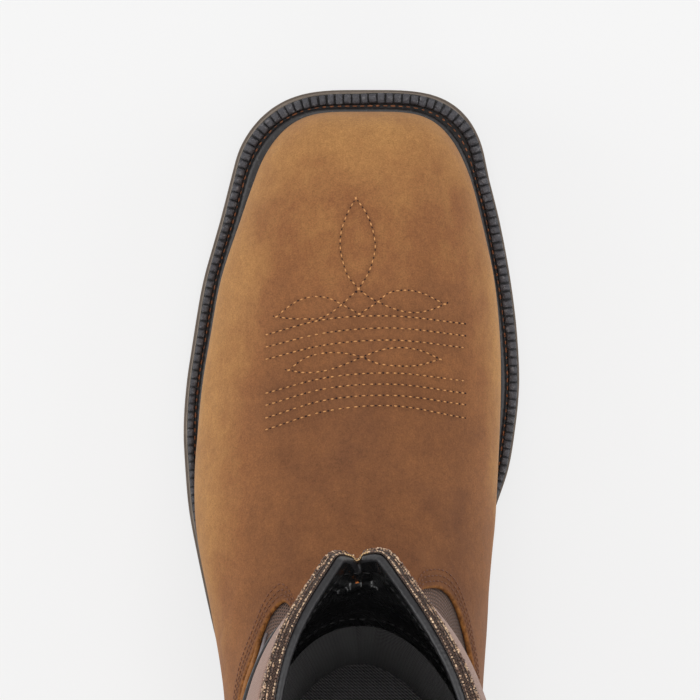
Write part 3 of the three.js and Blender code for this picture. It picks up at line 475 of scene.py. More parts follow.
def leatherMaterial(name):
    material, tree, shader = newMaterial(name, Roughness=0.7)
    shader.inputs["Sheen Weight"].default_value = 0.06
    shader.inputs["Sheen Roughness"].default_value = 0.5
    shader.inputs["Sheen Tint"].default_value = srgb(220, 180, 140)
    shader.inputs["Specular IOR Level"].default_value = 0.22
    place = objectCoordinate(tree)
    cloud = noise(tree, place, 22, 5, 0.6, distortion=0.4)
    patch = noise(tree, place, 75, 4, 0.6)
    nap = noise(tree, place, 620, 3, 0.7, stretch=(1.0, 0.8, 1.0))
    grain = noise(tree, place, 1900, 3, 0.8)
    streak = noise(tree, place, 260, 3, 0.65, stretch=(1.0, 0.5, 0.6), distortion=0.8)
    # The tone read here carries the painted sheen of the side walls and the painted toe highlight.
    tone = math2(tree, "ADD", attribute(tree, "tan"), remap(tree, cloud, 0.3, 0.7, -0.11, 0.11))
    tone = math2(tree, "ADD", tone, remap(tree, patch, 0.3, 0.7, -0.1, 0.1))
    tone = math2(tree, "ADD", tone, remap(tree, streak, 0.3, 0.7, -0.05, 0.05))
    ramp = addNode(tree, "ShaderNodeValToRGB", {0: tone})
    ramp.color_ramp.elements[0].color, ramp.color_ramp.elements[1].color = leatherLook["deep"], leatherLook["tan"]
    middle = ramp.color_ramp.elements.new(0.5)
    middle.color = leatherLook["warm"]
    fine = math2(tree, "ADD", remap(tree, nap, 0.25, 0.75, -0.13, 0.13), remap(tree, grain, 0.25, 0.75, -0.34, 0.34))
    value = addNode(tree, "ShaderNodeHueSaturation", {"Color": ramp.outputs[0], "Value": math2(tree, "ADD", 1.0, fine)})
    # Darkened towards the darkest colour: burnished leather and painted shade.
    burntAndShaded = mixColour(tree, attribute(tree, "burnishAndShade"), value.outputs[0], leatherLook["burnishAndShade"])
    raw = mixColour(tree, remap(tree, nap, 0.35, 0.65), leatherLook["edge"], leatherLook["raw"])
    cut = mixColour(tree, attribute(tree, "cutEdge"), burntAndShaded, raw)
    tree.links.new(cut, shader.inputs["Base Color"])
    tree.links.new(remap(tree, cloud, 0.3, 0.7, 0.62, 0.8), shader.inputs["Roughness"])
    pores = addNode(tree, "ShaderNodeTexVoronoi", {"Vector": place, "Scale": 1100.0}).outputs["Distance"]
    height = math2(tree, "ADD", math2(tree, "MULTIPLY", grain, 0.5), math2(tree, "MULTIPLY", pores, 0.25))
    wide = addBump(tree, shader, patch, 0.0008, 0.5)
    addBump(tree, shader, math2(tree, "ADD", height, math2(tree, "MULTIPLY", nap, 0.6)), 0.00018, 0.55, wide)
    return material


def rubberMaterial(name, colour, roughness, grainScale=700, bump=0.00012, speckleAndGlint=None):
    material, tree, shader = newMaterial(name)
    shader.inputs["Specular IOR Level"].default_value = 0.45
    place = objectCoordinate(tree)
    coarse, fine = noise(tree, place, 90, 4, 0.6), noise(tree, place, grainScale, 3, 0.65)
    shade = remap(tree, coarse, 0.3, 0.7, 0.82, 1.18)
    light = addNode(tree, "ShaderNodeHueSaturation", {"Color": colour, "Value": shade}).outputs[0]
    # Pale specks from the fine noise: the rubber's own speckle, and on the welt's ribs painted glints.
    light = mixColour(tree, remap(tree, fine, 0.55, 0.85, 0, 0.5), light, speckleAndGlint or srgb(120, 118, 118))
    tree.links.new(light, shader.inputs["Base Color"])
    tree.links.new(remap(tree, fine, 0.25, 0.75, roughness - 0.1, roughness + 0.12), shader.inputs["Roughness"])
    addBump(tree, shader, fine, bump, 0.7)
    return material


def clothWeave(tree, across, up, pitch, zigzag):
    wave = addNode(tree, "ShaderNodeMath", {0: across, 1: zigzag}, operation="PINGPONG").outputs[0]
    rows = math2(tree, "MULTIPLY", math2(tree, "ADD", up, wave), 2 * math.pi / pitch)
    strands = math2(tree, "MULTIPLY", across, 2 * math.pi / pitch)
    ridge = math2(tree, "SINE", rows)
    cross = math2(tree, "SINE", strands)
    return remap(tree, math2(tree, "ADD", ridge, math2(tree, "MULTIPLY", cross, 0.35)), -1.35, 1.35)


def clothMaterial(name, dark, light, pitch, zigzag, bump=0.0003, roughness=0.85, sheen=0.15):
    material, tree, shader = newMaterial(name, Roughness=roughness)
    shader.inputs["Sheen Weight"].default_value = sheen
    shader.inputs["Specular IOR Level"].default_value = 0.3
    split = addNode(tree, "ShaderNodeSeparateXYZ", {0: attribute(tree, "weave", "Vector")})
    height = clothWeave(tree, split.outputs[0], split.outputs[1], pitch, zigzag)
    place = objectCoordinate(tree)
    fibre, blotch = noise(tree, place, 1800, 3, 0.7), noise(tree, place, 60, 3, 0.5)
    colour = mixColour(tree, height, dark, light)
    shade = math2(tree, "ADD", remap(tree, fibre, 0.25, 0.75, 0.8, 1.2), remap(tree, blotch, 0.3, 0.7, -0.08, 0.08))
    tree.links.new(addNode(tree, "ShaderNodeHueSaturation", {"Color": colour, "Value": shade}).outputs[0],
                   shader.inputs["Base Color"])
    addBump(tree, shader, math2(tree, "ADD", height, math2(tree, "MULTIPLY", fibre, 0.3)), bump, 0.8)
    return material


def glossyLeather(name, colour, roughness, coat=0.0, wrinkle=0.0):
    material, tree, shader = newMaterial(name)
    shader.inputs["Coat Weight"].default_value = coat
    shader.inputs["Coat Roughness"].default_value = 0.2
    place = objectCoordinate(tree)
    creases = addNode(tree, "ShaderNodeTexVoronoi", {"Vector": place, "Scale": 800.0}).outputs["Distance"]
    soft = noise(tree, place, 160, 4, 0.6)
    shade = remap(tree, soft, 0.3, 0.7, 0.75, 1.25)
    tree.links.new(addNode(tree, "ShaderNodeHueSaturation", {"Color": colour, "Value": shade}).outputs[0],
                   shader.inputs["Base Color"])
    tree.links.new(remap(tree, soft, 0.3, 0.7, roughness - 0.08, roughness + 0.12), shader.inputs["Roughness"])
    folds = addBump(tree, shader, noise(tree, place, 95, 3, 0.5, distortion=1.5), 0.003, wrinkle) if wrinkle else None
    addBump(tree, shader, math2(tree, "ADD", creases, soft), 0.00018, 0.6, folds)
    return material


def threadMaterial(name, colour, roughness=0.55):
    material, tree, shader = newMaterial(name, Roughness=roughness)
    twist = noise(tree, objectCoordinate(tree), 2600, 2, 0.6)
    shade = remap(tree, twist, 0.3, 0.7, 0.75, 1.3)
    tree.links.new(addNode(tree, "ShaderNodeHueSaturation", {"Color": colour, "Value": shade}).outputs[0],
                   shader.inputs["Base Color"])
    addBump(tree, shader, twist, 0.0001, 0.6)
    return material


# Each knot of the braid takes its own tone between brown and pale: partly the yarn's own two tones, partly painted
# glints.
def braidMaterial(name, dark, pale, darkShare):
    material, tree, shader = newMaterial(name, Roughness=0.34)
    cells = addNode(tree, "ShaderNodeTexVoronoi", {"Vector": objectCoordinate(tree), "Scale": 950.0})
    chance = addNode(tree, "ShaderNodeSeparateXYZ", {0: cells.outputs["Color"]}).outputs[0]
    colour = mixColour(tree, remap(tree, chance, darkShare, 1.0), dark, pale)
    tree.links.new(colour, shader.inputs["Base Color"])
    return material


vampLeather = leatherMaterial("oiledVampLeather")
counterLeather = leatherMaterial("oiledCounterLeather")
# The ribs' very pale specks are painted glints on their rough tops.
weltRubber = rubberMaterial("weltRubber", srgb(62, 61, 66), 0.42, 620, 0.0009, srgb(178, 176, 178))
# Welt strip under the ribs, near black beside the ribs' grey rubber: painted shade in the gaps between the ribs.
shadedWeltBase = rubberMaterial("shadedWeltBase", srgb(24, 23, 24), 0.6)
randRubber = rubberMaterial("randRubber", srgb(44, 42, 43), 0.4, 900, 0.00006)
soleRubber = rubberMaterial("soleRubber", srgb(106, 94, 84), 0.75, 900, 0.0001, srgb(140, 128, 116))
liftRubber = rubberMaterial("liftRubber", srgb(40, 39, 40), 0.7)
midsoleFoam = rubberMaterial("midsoleFoam", srgb(124, 112, 101), 0.75, 900, 0.0001, srgb(150, 138, 126))
shaftCloth = clothMaterial("shaftCloth", srgb(26, 17, 15), srgb(140, 108, 92), 1.3, 0.65, 0.0007)
# Lining woven paler than its black cloth: painted light, so the shaded inside of the shaft reads as evenly lit.
liningClothPaintedLight = clothMaterial("liningClothPaintedLight", srgb(26, 25, 26), srgb(76, 73, 74), 1.2, 60.0, 0.0005)
bandCloth = clothMaterial("bandCloth", srgb(132, 104, 92), srgb(170, 138, 124), 0.8, 40.0, 0.00012)
strapCloth = clothMaterial("strapCloth", srgb(110, 88, 78), srgb(160, 134, 122), 1.6, 1.6, 0.0003)
# Footbed cloth much paler than the black lining cloth: painted light on the shaded floor of the boot's inside.
footbedClothPaintedLight = clothMaterial("footbedClothPaintedLight", srgb(84, 82, 83), srgb(186, 182, 184), 1.2, 60.0, 0.0004)
# The binding's rounded top is greyer than its black facing: partly the binding's own grey, partly a painted highlight
# on the top.
rimLeatherAndHighlight = glossyLeather("rimLeatherAndHighlight", srgb(38, 37, 39), 0.4)
facingLeather = glossyLeather("facingLeather", srgb(18, 18, 19), 0.24, 0.5, 0.5)
# Grey strip on the shaft just above the vamp's edge: painted reflection, the bluish sheen of the cloth as it turns
# away.
greyTape = rubberMaterial("greyTape", srgb(124, 116, 118), 0.5, 900, 0.00005, srgb(150, 140, 144))
pipingLeather = glossyLeather("pipingLeather", srgb(40, 39, 41), 0.45)
goldThread = threadMaterial("goldThread", srgb(206, 148, 88))
weltThread = threadMaterial("weltThread", srgb(150, 92, 58))
brownThread = threadMaterial("brownThread", srgb(104, 62, 38))
blackThread = threadMaterial("blackThread", srgb(26, 25, 26))
# Dark brown spots in the needle holes between the toe stitches: painted shade in the holes.
needleHoleShade = newMaterial("needleHoleShade", Roughness=0.95)[0]
needleHoleShade.node_tree.nodes["Principled BSDF"].inputs["Base Color"].default_value = srgb(44, 22, 12)
print("materials made")


# What repeats along a path: a small piece stands at each step, turned to the path and to its facing

def repeatTree():
    tree = bpy.data.node_groups.new("repeatAlongPath", "GeometryNodeTree")
    sockets = [("Path", "Geometry"), ("Piece", "Object"), ("Spacing", "Float"), ("Size", "Vector"),
               ("Unevenness", "Float"), ("Seed", "Int"), ("Finish", "Material")]
    for name, kind in sockets:
        tree.interface.new_socket(name, in_out="INPUT", socket_type="NodeSocket" + kind)
    tree.interface.new_socket("Result", in_out="OUTPUT", socket_type="NodeSocketGeometry")
    given = addNode(tree, "NodeGroupInput").outputs
    curve = addNode(tree, "GeometryNodeMeshToCurve", {"Mesh": given["Path"]}).outputs[0]
    points = addNode(tree, "GeometryNodeResampleCurve", {"Curve": curve, "Length": given["Spacing"]}, mode="LENGTH")
    facing = addNode(tree, "GeometryNodeInputNamedAttribute", {"Name": "facing"}, data_type="FLOAT_VECTOR")
    reach = addNode(tree, "GeometryNodeInputNamedAttribute", {"Name": "reach"}, data_type="FLOAT")
    stand = addNode(tree, "FunctionNodeAlignRotationToVector", {"Vector": facing.outputs[0]}, axis="Z")
    tangent = addNode(tree, "GeometryNodeInputTangent").outputs[0]
    turned = {"Rotation": stand.outputs[0], "Vector": tangent}
    rotation = addNode(tree, "FunctionNodeAlignRotationToVector", turned, axis="X", pivot_axis="Z")
    spread = addNode(tree, "FunctionNodeRandomValue", {"Seed": given["Seed"]}, data_type="FLOAT_VECTOR")
    less = addNode(tree, "ShaderNodeMath", {0: 1.0, 1: given["Unevenness"]}, operation="SUBTRACT").outputs[0]
    more = addNode(tree, "ShaderNodeMath", {0: 1.0, 1: given["Unevenness"]}, operation="ADD").outputs[0]
    tree.links.new(less, spread.inputs[0])
    tree.links.new(more, spread.inputs[1])
    widen = addNode(tree, "ShaderNodeCombineXYZ", {"X": 1.0, "Y": reach.outputs[0], "Z": 1.0}).outputs[0]
    size = addNode(tree, "ShaderNodeVectorMath", {0: given["Size"], 1: widen}, operation="MULTIPLY").outputs[0]
    size = addNode(tree, "ShaderNodeVectorMath", {0: size, 1: spread.outputs[0]}, operation="MULTIPLY").outputs[0]
    piece = addNode(tree, "GeometryNodeObjectInfo", {"Object": given["Piece"]}).outputs["Geometry"]
    placed = addNode(tree, "GeometryNodeInstanceOnPoints", {
        "Points": points.outputs[0], "Instance": piece, "Rotation": rotation.outputs[0], "Scale": size})
    real = addNode(tree, "GeometryNodeRealizeInstances", {0: placed.outputs[0]}).outputs[0]
    finished = addNode(tree, "GeometryNodeSetMaterial", {"Geometry": real, "Material": given["Finish"]}).outputs[0]
    addNode(tree, "NodeGroupOutput", {0: finished})
    return tree


alongPath = repeatTree()


# runs are lists of (points, facings, reaches) in millimetres
def repeatPiece(name, runs, piece, spacing, finish, size=(1, 1, 1), unevenness=0.0, seed=1):
    starts = np.cumsum([0] + [len(run[0]) for run in runs])
    mesh = bpy.data.meshes.new(name)
    edges = [(s + i, s + i + 1) for s, run in zip(starts, runs) for i in range(len(run[0]) - 1)]
    mesh.from_pydata((np.concatenate([run[0] for run in runs]) / 1000).tolist(), edges, [])
    obj = bpy.data.objects.new(name, mesh)
    bpy.context.scene.collection.objects.link(obj)
    setAttribute(obj, "facing", np.concatenate([run[1] for run in runs]), "FLOAT_VECTOR")
    setAttribute(obj, "reach", np.concatenate([run[2] for run in runs]))
    modifier = obj.modifiers.new("repeat", "NODES")
    modifier.node_group = alongPath
    values = {"Piece": piece, "Spacing": spacing / 1000, "Size": size, "Unevenness": unevenness, "Seed": seed,
              "Finish": finish}
    for item in alongPath.interface.items_tree:
        if item.in_out == "INPUT" and item.name in values:
            modifier[item.identifier] = values[item.name]
    bakeModifiers(obj)
    for leftover in ("facing", "reach"):
        if leftover in obj.data.attributes:
            obj.data.attributes.remove(obj.data.attributes[leftover])
    return dress(obj, finish)


def run(points, facing, reach=1.0):
    points = np.asarray(points, float)
    facing = np.broadcast_to(np.asarray(facing, float), points.shape)
    return points, facing, np.broadcast_to(np.asarray(reach, float), len(points))


# A small round-ended piece in mm: rings along X, flattened by its size, moved along X and Z
def beadObject(name, length, width, height, rings=6, around=8, shift=0.0, sink=0.0, square=2.0):
    angles = np.linspace(0, math.pi, rings + 1)[1:-1]
    swing = np.linspace(0, 2 * math.pi, around, endpoint=False)
    power = 2 / square
    soft = lambda v: np.sign(v) * np.abs(v) ** power
    x = -soft(np.cos(angles))[:, None] * length / 2 + 0 * swing
    y = (soft(np.sin(angles))[:, None] * soft(np.cos(swing))) * width / 2
    z = (soft(np.sin(angles))[:, None] * soft(np.sin(swing))) * height / 2
    points = np.stack([x, y, z], -1).reshape(-1, 3)
    tips = [[-length / 2, 0, 0], [length / 2, 0, 0]]
    points = np.concatenate([points, tips]) + [shift, 0, -sink]
    count = len(angles)
    faces = gridFaces(count, around, closedColumns=True)
    first, last = count * around, count * around + 1
    faces += [[first, (j + 1) % around, j][::-1] for j in range(around)]
    faces += [[last, (count - 1) * around + j, (count - 1) * around + (j + 1) % around][::-1] for j in range(around)]
    obj = meshObject(name, points, faces)
    bm = bmesh.new()
    bm.from_mesh(obj.data)
    bmesh.ops.recalc_face_normals(bm, faces=bm.faces)
    bm.to_mesh(obj.data)
    bm.free()
    return obj


templates = []


def template(*args, **kwargs):
    templates.append(beadObject(*args, **kwargs))
    return templates[-1]


print("tools ready")

# Camera first: it looks almost straight down on the forefoot
view = {"height": 1.5, "overX": 0.0005, "overY": 0.0254, "aimX": -0.0005, "aimY": 0.0637, "lens": 221.55}
cameraData = bpy.data.cameras.new("camera")
cameraData.lens, cameraData.sensor_width, cameraData.clip_end = view["lens"], 36.0, 20.0
camera = bpy.data.objects.new("camera", cameraData)
bpy.context.scene.collection.objects.link(camera)
camera.location = (view["overX"], view["overY"], view["height"])
tiltX = math.atan2(view["aimY"] - view["overY"], view["height"])
tiltY = math.atan2(view["overX"] - view["aimX"], view["height"])
camera.rotation_euler = (tiltX, tiltY, 0)
bpy.context.scene.camera = camera
bpy.context.scene.view_settings.view_transform = "Standard"

studio = {"worldStrength": 0.5, "top": 7.0, "side": 7.5, "front": 4.0, "overhead": 3.0}


def areaLight(name, place, target, size, power):
    data = bpy.data.lights.new(name, "AREA")
    data.energy, data.shape, data.size, data.size_y = power, "RECTANGLE", size[0], size[1]
    obj = bpy.data.objects.new(name, data)
    obj.location = place
    obj.rotation_euler = (Vector(target) - Vector(place)).to_track_quat("-Z", "Y").to_euler()
    bpy.context.scene.collection.objects.link(obj)


areaLight("topSoftbox", (0.1, 0.7, 1.5), (0, 0.02, 0.1), (1.2, 0.8), studio["top"])
areaLight("leftSoftbox", (-1.3, 0.1, 0.75), (0, 0.0, 0.1), (0.9, 1.2), studio["side"])
areaLight("rightSoftbox", (1.3, 0.1, 0.75), (0, 0.0, 0.1), (0.9, 1.2), studio["side"] * 0.7)
areaLight("overheadSoftbox", (0, -0.06, 1.9), (0, -0.06, 0), (0.5, 0.5), studio["overhead"])
areaLight("backSoftbox", (0.1, -1.2, 1.1), (0, -0.05, 0.15), (1.2, 0.8), studio["front"])
world = bpy.data.worlds.new("studioWorld")
world.use_nodes = True
world.node_tree.nodes["Background"].inputs["Color"].default_value = (1, 1, 1, 1)
world.node_tree.nodes["Background"].inputs["Strength"].default_value = studio["worldStrength"]
bpy.context.scene.world = world

floorMesh = bpy.data.meshes.new("floor")
floorMesh.from_pydata([(-3, -3, -0.0006), (3, -3, -0.0006), (3, 3, -0.0006), (-3, 3, -0.0006)], [], [(0, 1, 2, 3)])
floor = bpy.data.objects.new("floor", floorMesh)
bpy.context.scene.collection.objects.link(floor)
floorPaint = newMaterial("floorPaint", Roughness=0.95)[0]
floorLook = floorPaint.node_tree.nodes["Principled BSDF"].inputs
floorLook["Base Color"].default_value = (0.2, 0.2, 0.2, 1)
floorLook["Specular IOR Level"].default_value = 0.0
floorLook["Emission Color"].default_value = (1, 1, 1, 1)  # a light table, so the boot casts hardly a shadow
floorLook["Emission Strength"].default_value = 0.705
floorMesh.materials.append(floorPaint)
print("camera, lights and floor placed")

# Leather overlays: vamp and counter
overlay = {"out": 2.1, "inner": 0.3, "turns": 230, "levels": 120, "edgeSteps": 7, "innerRows": 10}
toeStitch = {"pitch": 2.55, "thread": 1.1, "width": 0.46, "hole": 0.8, "trough": 0.1, "reach": 1.5}

# The toe's stitched pattern in the plan, in mm: runs that close into leaves, then rows that arch across
stitchedRuns = [
    [(1.5, 112.4), (4.9, 107.4), (7.4, 100.3), (7.9, 95.6), (7.2, 91.9), (5.9, 87.9), (2.4, 82.0)],
    [(1.5, 112.4), (-1.7, 106.3), (-3.7, 98.3), (-3.5, 94.3), (-2.7, 90.7), (-1.3, 86.7), (2.4, 82.0)],
    [(2.4, 82.0), (-1.1, 78.7), (-6.7, 74.1), (-10.1, 72.4), (-15.3, 72.1), (-20.4, 72.3), (-24.8, 73.0)],
    [(-24.8, 73.0), (-21.6, 75.7), (-17.6, 78.2), (-11.9, 79.5), (-6.7, 78.6), (-3.3, 76.9), (2.6, 73.6)],
    [(2.4, 82.0), (5.8, 79.3), (9.2, 77.5), (13.8, 75.5), (20.0, 74.2), (26.9, 75.4), (31.0, 77.2)],
    [(31.0, 77.2), (27.5, 78.9), (24.1, 80.5), (18.0, 81.6), (12.0, 80.4), (8.9, 77.8), (2.6, 73.6)],
    [(3.5, 59.4), (-2.2, 56.9), (-9.0, 54.8), (-15.8, 54.3), (-20.7, 55.1)],
    [(-20.7, 55.1), (-15.8, 58.8), (-7.8, 60.8), (-1.0, 60.4), (3.5, 59.4)],
    [(3.5, 59.4), (8.1, 57.4), (14.3, 56.5), (21.2, 56.6), (29.5, 58.8)],
    [(29.5, 58.8), (22.9, 61.6), (16.6, 62.5), (10.3, 61.8), (3.5, 59.4)],
]
stitchedRows = [  # height in the plan at the row's outer end, at its two middle marks and at its inner end
    (67.1, 71.8, 73.0, 70.9), (63.0, 67.3, 69.0, 66.9), (58.9, 63.3, 65.0, 62.9), (47.6, 52.4, 54.1, 51.8),
    (43.6, 48.8, 50.4, 47.7), (39.4, 45.0, 46.7, 43.9), (35.5, 41.3, 43.3, 39.5),
]
rowMarks = (-28.0, -9.1, 12.5, 37.0)


def smoothRun(points, spacing=0.4):
    points = np.array(points, float)
    distance = np.concatenate([[0], np.cumsum(np.linalg.norm(np.diff(points, axis=0), axis=1))])
    at = np.linspace(0, distance[-1], max(int(distance[-1] / spacing), 8))
    return np.stack([smoothCurve(distance, points[:, i])(at) for i in range(points.shape[1])], 1)


planRuns = [smoothRun(points) for points in stitchedRuns]
planRuns += [smoothRun(list(zip(rowMarks, row))) for row in stitchedRows]

# Soft troughs in the leather: two ends in mm, width and depth
troughs = [
    ((-40, 18, 54), (-14, 8, 88), 7, 0.4), ((40, 16, 54), (16, 6, 88), 7, 0.4), ((-42, 2, 56), (-20, -6, 88), 6, 0.6),
    ((40, -2, 58), (24, -8, 86), 6, 0.6), ((-38, -24, 66), (-30, -34, 84), 5, 0.5), ((40, -26, 66), (34, -36, 82), 5, 0.4),
    ((-38, -66, 76), (-36, -96, 82), 6, 0.35), ((42, -66, 76), (40, -96, 84), 6, 0.3), ((-30, -30, 128), (-36, -70, 118), 7, 0.9),
    ((36, -30, 130), (40, -72, 120), 7, 0.9), ((-28, -38, 160), (-37, -84, 150), 9, 0.7), ((34, -38, 158), (42, -84, 152), 9, 0.7),
]


def sunk(points):
    depth = np.zeros(points.shape[:-1])
    for start, end, width, deep in troughs:
        a, b = np.array(start, float), np.array(end, float)
        t = np.clip(((points - a) @ (b - a)) / ((b - a) @ (b - a)), 0, 1)
        far = np.linalg.norm(points - a - t[..., None] * (b - a), axis=-1)
        depth += deep * np.exp(-(far / width) ** 2) - 0.45 * deep * np.exp(-((far - 1.7 * width) / width) ** 2)
    return depth


def nearStitches(points):
    marks = np.concatenate(planRuns)
    far = np.full(len(points), 99.0)
    high = (points[:, 2] > 40) & (points[:, 1] > 25)
    chosen = np.flatnonzero(high)
    for part in np.array_split(chosen, 24):
        if len(part):
            far[part] = np.sqrt(((points[part, None, :2] - marks) ** 2).sum(2).min(1))
    return far


# A leather overlay: its loop goes up the outer face, over the cut edge and down the inner face
def overlayObject(name, turns, topAt, lean=None):
    rows = overlay["levels"]
    rise = np.linspace(0, 1, rows) ** 0.9
    edge = np.linspace(0, math.pi, overlay["edgeSteps"] + 2)[1:-1]
    down = np.linspace(1, 0, overlay["innerRows"])
    middle, half = (overlay["out"] + overlay["inner"]) / 2, (overlay["out"] - overlay["inner"]) / 2
    share = np.concatenate([rise, np.ones(len(edge)), down])
    roll = np.concatenate([np.zeros(rows), np.sin(edge) * half, np.zeros(len(down))])
    out = np.concatenate([np.full(rows, overlay["out"]), middle + np.cos(edge) * half, np.full(len(down), overlay["inner"])])
    top = topAt(turns)
    perMm = levelPerMm(turns, top)
    level = share[None, :] * (top - perMm * half)[:, None] + roll * perMm[:, None]
    turn = np.repeat(turns[:, None], len(share), 1)
    if lean:
        turn = lean(turn, level)
    points, normal = skin(turn, level, np.broadcast_to(out, turn.shape), alsoNormal=True)
    below = (top[:, None] - level) / perMm[:, None]
    outer = np.concatenate([np.ones(rows), np.zeros(len(edge) + len(down))]) * smoothStep(0, 6, below)
    flat = points.reshape(-1, 3)
    near = nearStitches(flat).reshape(level.shape) if name == "vampLeather" else np.full(level.shape, 99.0)
    puff = toeStitch["trough"] * np.exp(-(near / toeStitch["reach"]) ** 2)
    points = points - normal * ((sunk(points) + puff) * outer)[..., None]
    obj = loftObject(name, points, False)
    return obj, points, level, below, near, turn


# Tone of the leather, darker towards the instep, plus painted light: a painted sheen that lightens the side walls low
# down (fading out between 60 and 130 mm up) and a painted highlight towards the toe's tip.
def tanAndPaintedSheen(points, level):
    x, y, z = points[..., 0], points[..., 1], points[..., 2]
    side = np.abs(x - 2) / 54
    middle = 0.5 - 0.26 * smoothStep(100, 35, y) - 0.1 * smoothStep(20, -15, y)
    paintedToeHighlight = 0.36 * smoothStep(102, 138, y)
    outer = 0.5 * smoothStep(0.42, 0.9, side) + 0.2 * smoothStep(0.8, 1.0, side)
    inner = 0.22 * smoothStep(0.6, 0.8, side) + 0.62 * smoothStep(0.76, 0.96, side)
    return middle + paintedToeHighlight + np.where(x < 2, outer, inner) * smoothStep(130, 60, z)


lowSeam, highSeam = math.radians(seam["lowTurn"]), math.radians(seam["highTurn"])


def seamAt(level, gap):
    return mix(lowSeam, highSeam, np.clip(level / seam["level"], 0, 1)) + math.radians(gap)


def vampLean(turn, level):
    return turn / turns[-1] * seamAt(level, -seam["gap"] / 2)


count = overlay["turns"]
spread = np.linspace(-1, 1, count)
turns = (spread - 0.045 * np.sin(2 * math.pi * spread)) * highSeam
vampObject, vampPoints, vampLevel, vampBelow, vampNear, _ = overlayObject("vampLeather", turns, vampEdge, vampLean)


def leatherAttributes(obj, points, level, below, near):
    # Leather tone with painted side sheen and painted toe highlight.
    setAttribute(obj, "tan", tanAndPaintedSheen(points, level))
    # Darker along the stitches, in a band just under the cut edge and low down where the upper meets the welt: partly
    # burnished leather, partly painted shade in the stitch troughs, under the raised cut edge and in the corner at the
    # welt.
    line = 0.3 * np.exp(-(near / 0.8) ** 2) + 0.25 * np.exp(-((below - 3.2) / 2.2) ** 2)
    footShade = 0.35 * smoothStep(0.05, 0.0, level)
    setAttribute(obj, "burnishAndShade", np.clip(line + footShade, 0, 1))
    setAttribute(obj, "cutEdge", smoothStep(0.9, 0.1, below))


leatherAttributes(vampObject, vampPoints, vampLevel, vampBelow, vampNear)
dress(vampObject, vampLeather, "vamp")
print("vamp made,", len(vampObject.data.polygons), "faces")

counterTurns = np.linspace(lowSeam, 2 * math.pi - lowSeam, 110)


def counterTop(turn):
    return counterEdge(wrapTurn(turn))


def counterLean(turn, level):
    share = (turn - math.pi) / (math.pi - lowSeam)
    return wrapTurn(math.pi + share * (math.pi - seamAt(level, seam["gap"] / 2)))


overlay["levels"] = 70
counterObject, points, level, below, near, _ = overlayObject("counterLeather", counterTurns, counterTop, counterLean)
leatherAttributes(counterObject, points, level, below, near)
dress(counterObject, counterLeather, "counter")
print("counter made")


# Weave coordinates: millimetres round the boot and up it
def weaveOf(obj, points, turn, closed=True):
    sections = points.reshape(turn.shape + (3,))
    steps = np.linalg.norm(np.diff(sections, axis=0), axis=2)
    across = np.concatenate([np.zeros((1, turn.shape[1])), np.cumsum(steps, axis=0)])
    mean = across.mean(1, keepdims=True)
    climb = np.linalg.norm(np.diff(sections, axis=1), axis=2)
    up = np.concatenate([np.zeros((turn.shape[0], 1)), np.cumsum(climb, axis=1)], 1)
    weave = np.stack([np.broadcast_to(mean, turn.shape), up, np.zeros(turn.shape)], -1)
    setAttribute(obj, "weave", weave.reshape(-1, 3), "FLOAT_VECTOR")


def ringTurns(number):
    t = np.linspace(-math.pi, math.pi, number, endpoint=False)
    return t - 0.1 * np.sin(2 * t)


# A notch at the rim's front, where the two ends of the trim meet
notch = {"turn": -1.6, "deep": 2.7, "wide": 2.8, "shoulder": 0.9}


def notched(turn, level):
    away = np.degrees(np.abs(turn - math.radians(notch["turn"]))) / notch["wide"]
    near = np.reshape(away, turn.shape + (1,) * (level.ndim - 1))
    dip = notch["deep"] * np.exp(-near ** 1.5) - notch["shoulder"] * np.exp(-((near - 3) / 1.6) ** 2)
    return level - dip / form["legWidth"] * smoothStep(1 - 9 / form["legWidth"], 1, level)


# The shaft: woven outside, black lining inside
shaft = {"turns": 220, "levels": 120, "edge": 5}
turn = ringTurns(shaft["turns"])
up = np.linspace(0, 1, shaft["levels"])
edge = np.linspace(0, math.pi, shaft["edge"] + 2)[1:-1]
half = form["wall"] / 2
levels = np.concatenate([up, np.ones(len(edge)), up[::-1]])
away = np.degrees(turn) - notch["turn"]
sinks = (notch["deep"] + 1.5) / form["legWidth"] * np.exp(-(away / 4.5) ** 2)
outs = np.concatenate([np.zeros(len(up)), -half + np.cos(edge) * half, np.full(len(up), -form["wall"])])
turnGrid = np.repeat(turn[:, None], len(levels), 1)
levelGrid = levels[None, :] - sinks[:, None] * smoothStep(0.85, 1, levels)[None, :]
points, normal = skin(turnGrid, levelGrid, np.broadcast_to(outs, turnGrid.shape), True)
points = points - normal * (sunk(points) * 0.8 * smoothStep(0.35, 0.5, levels) * smoothStep(0.9, 0.8, levels))[..., None]
shaftObject = loftObject("shaftCloth", points, True)
weaveOf(shaftObject, points, turnGrid)
dress(shaftObject, [shaftCloth, liningClothPaintedLight], "upper")
inward = np.arange(len(levels)) >= len(up) + len(edge) // 2
faceColumn = np.tile(np.arange(len(levels)), shaft["turns"])
shaftObject.data.polygons.foreach_set("material_index", inward[faceColumn].astype(int).tolist())
print("shaft made")


def belowRim(turn, distance):
    return 1 - distance * levelPerMm(turn, np.full(len(turn), 0.995))


def rimLoft(name, placesAt, number=320):
    turn = np.sort(np.concatenate([ringTurns(number - 60), np.radians(notch["turn"] + np.linspace(-12, 12, 60))]))
    places = placesAt(turn)
    level = np.stack([np.broadcast_to(l, turn.shape) for l, _ in places], 1)
    out = np.stack([np.broadcast_to(o, turn.shape) for _, o in places], 1)
    turnGrid = np.repeat(turn[:, None], len(places), 1)
    points = skin(turnGrid, notched(turn, level), out)
    obj = loftObject(name, points, True)
    weaveOf(obj, points, turnGrid)
    return obj


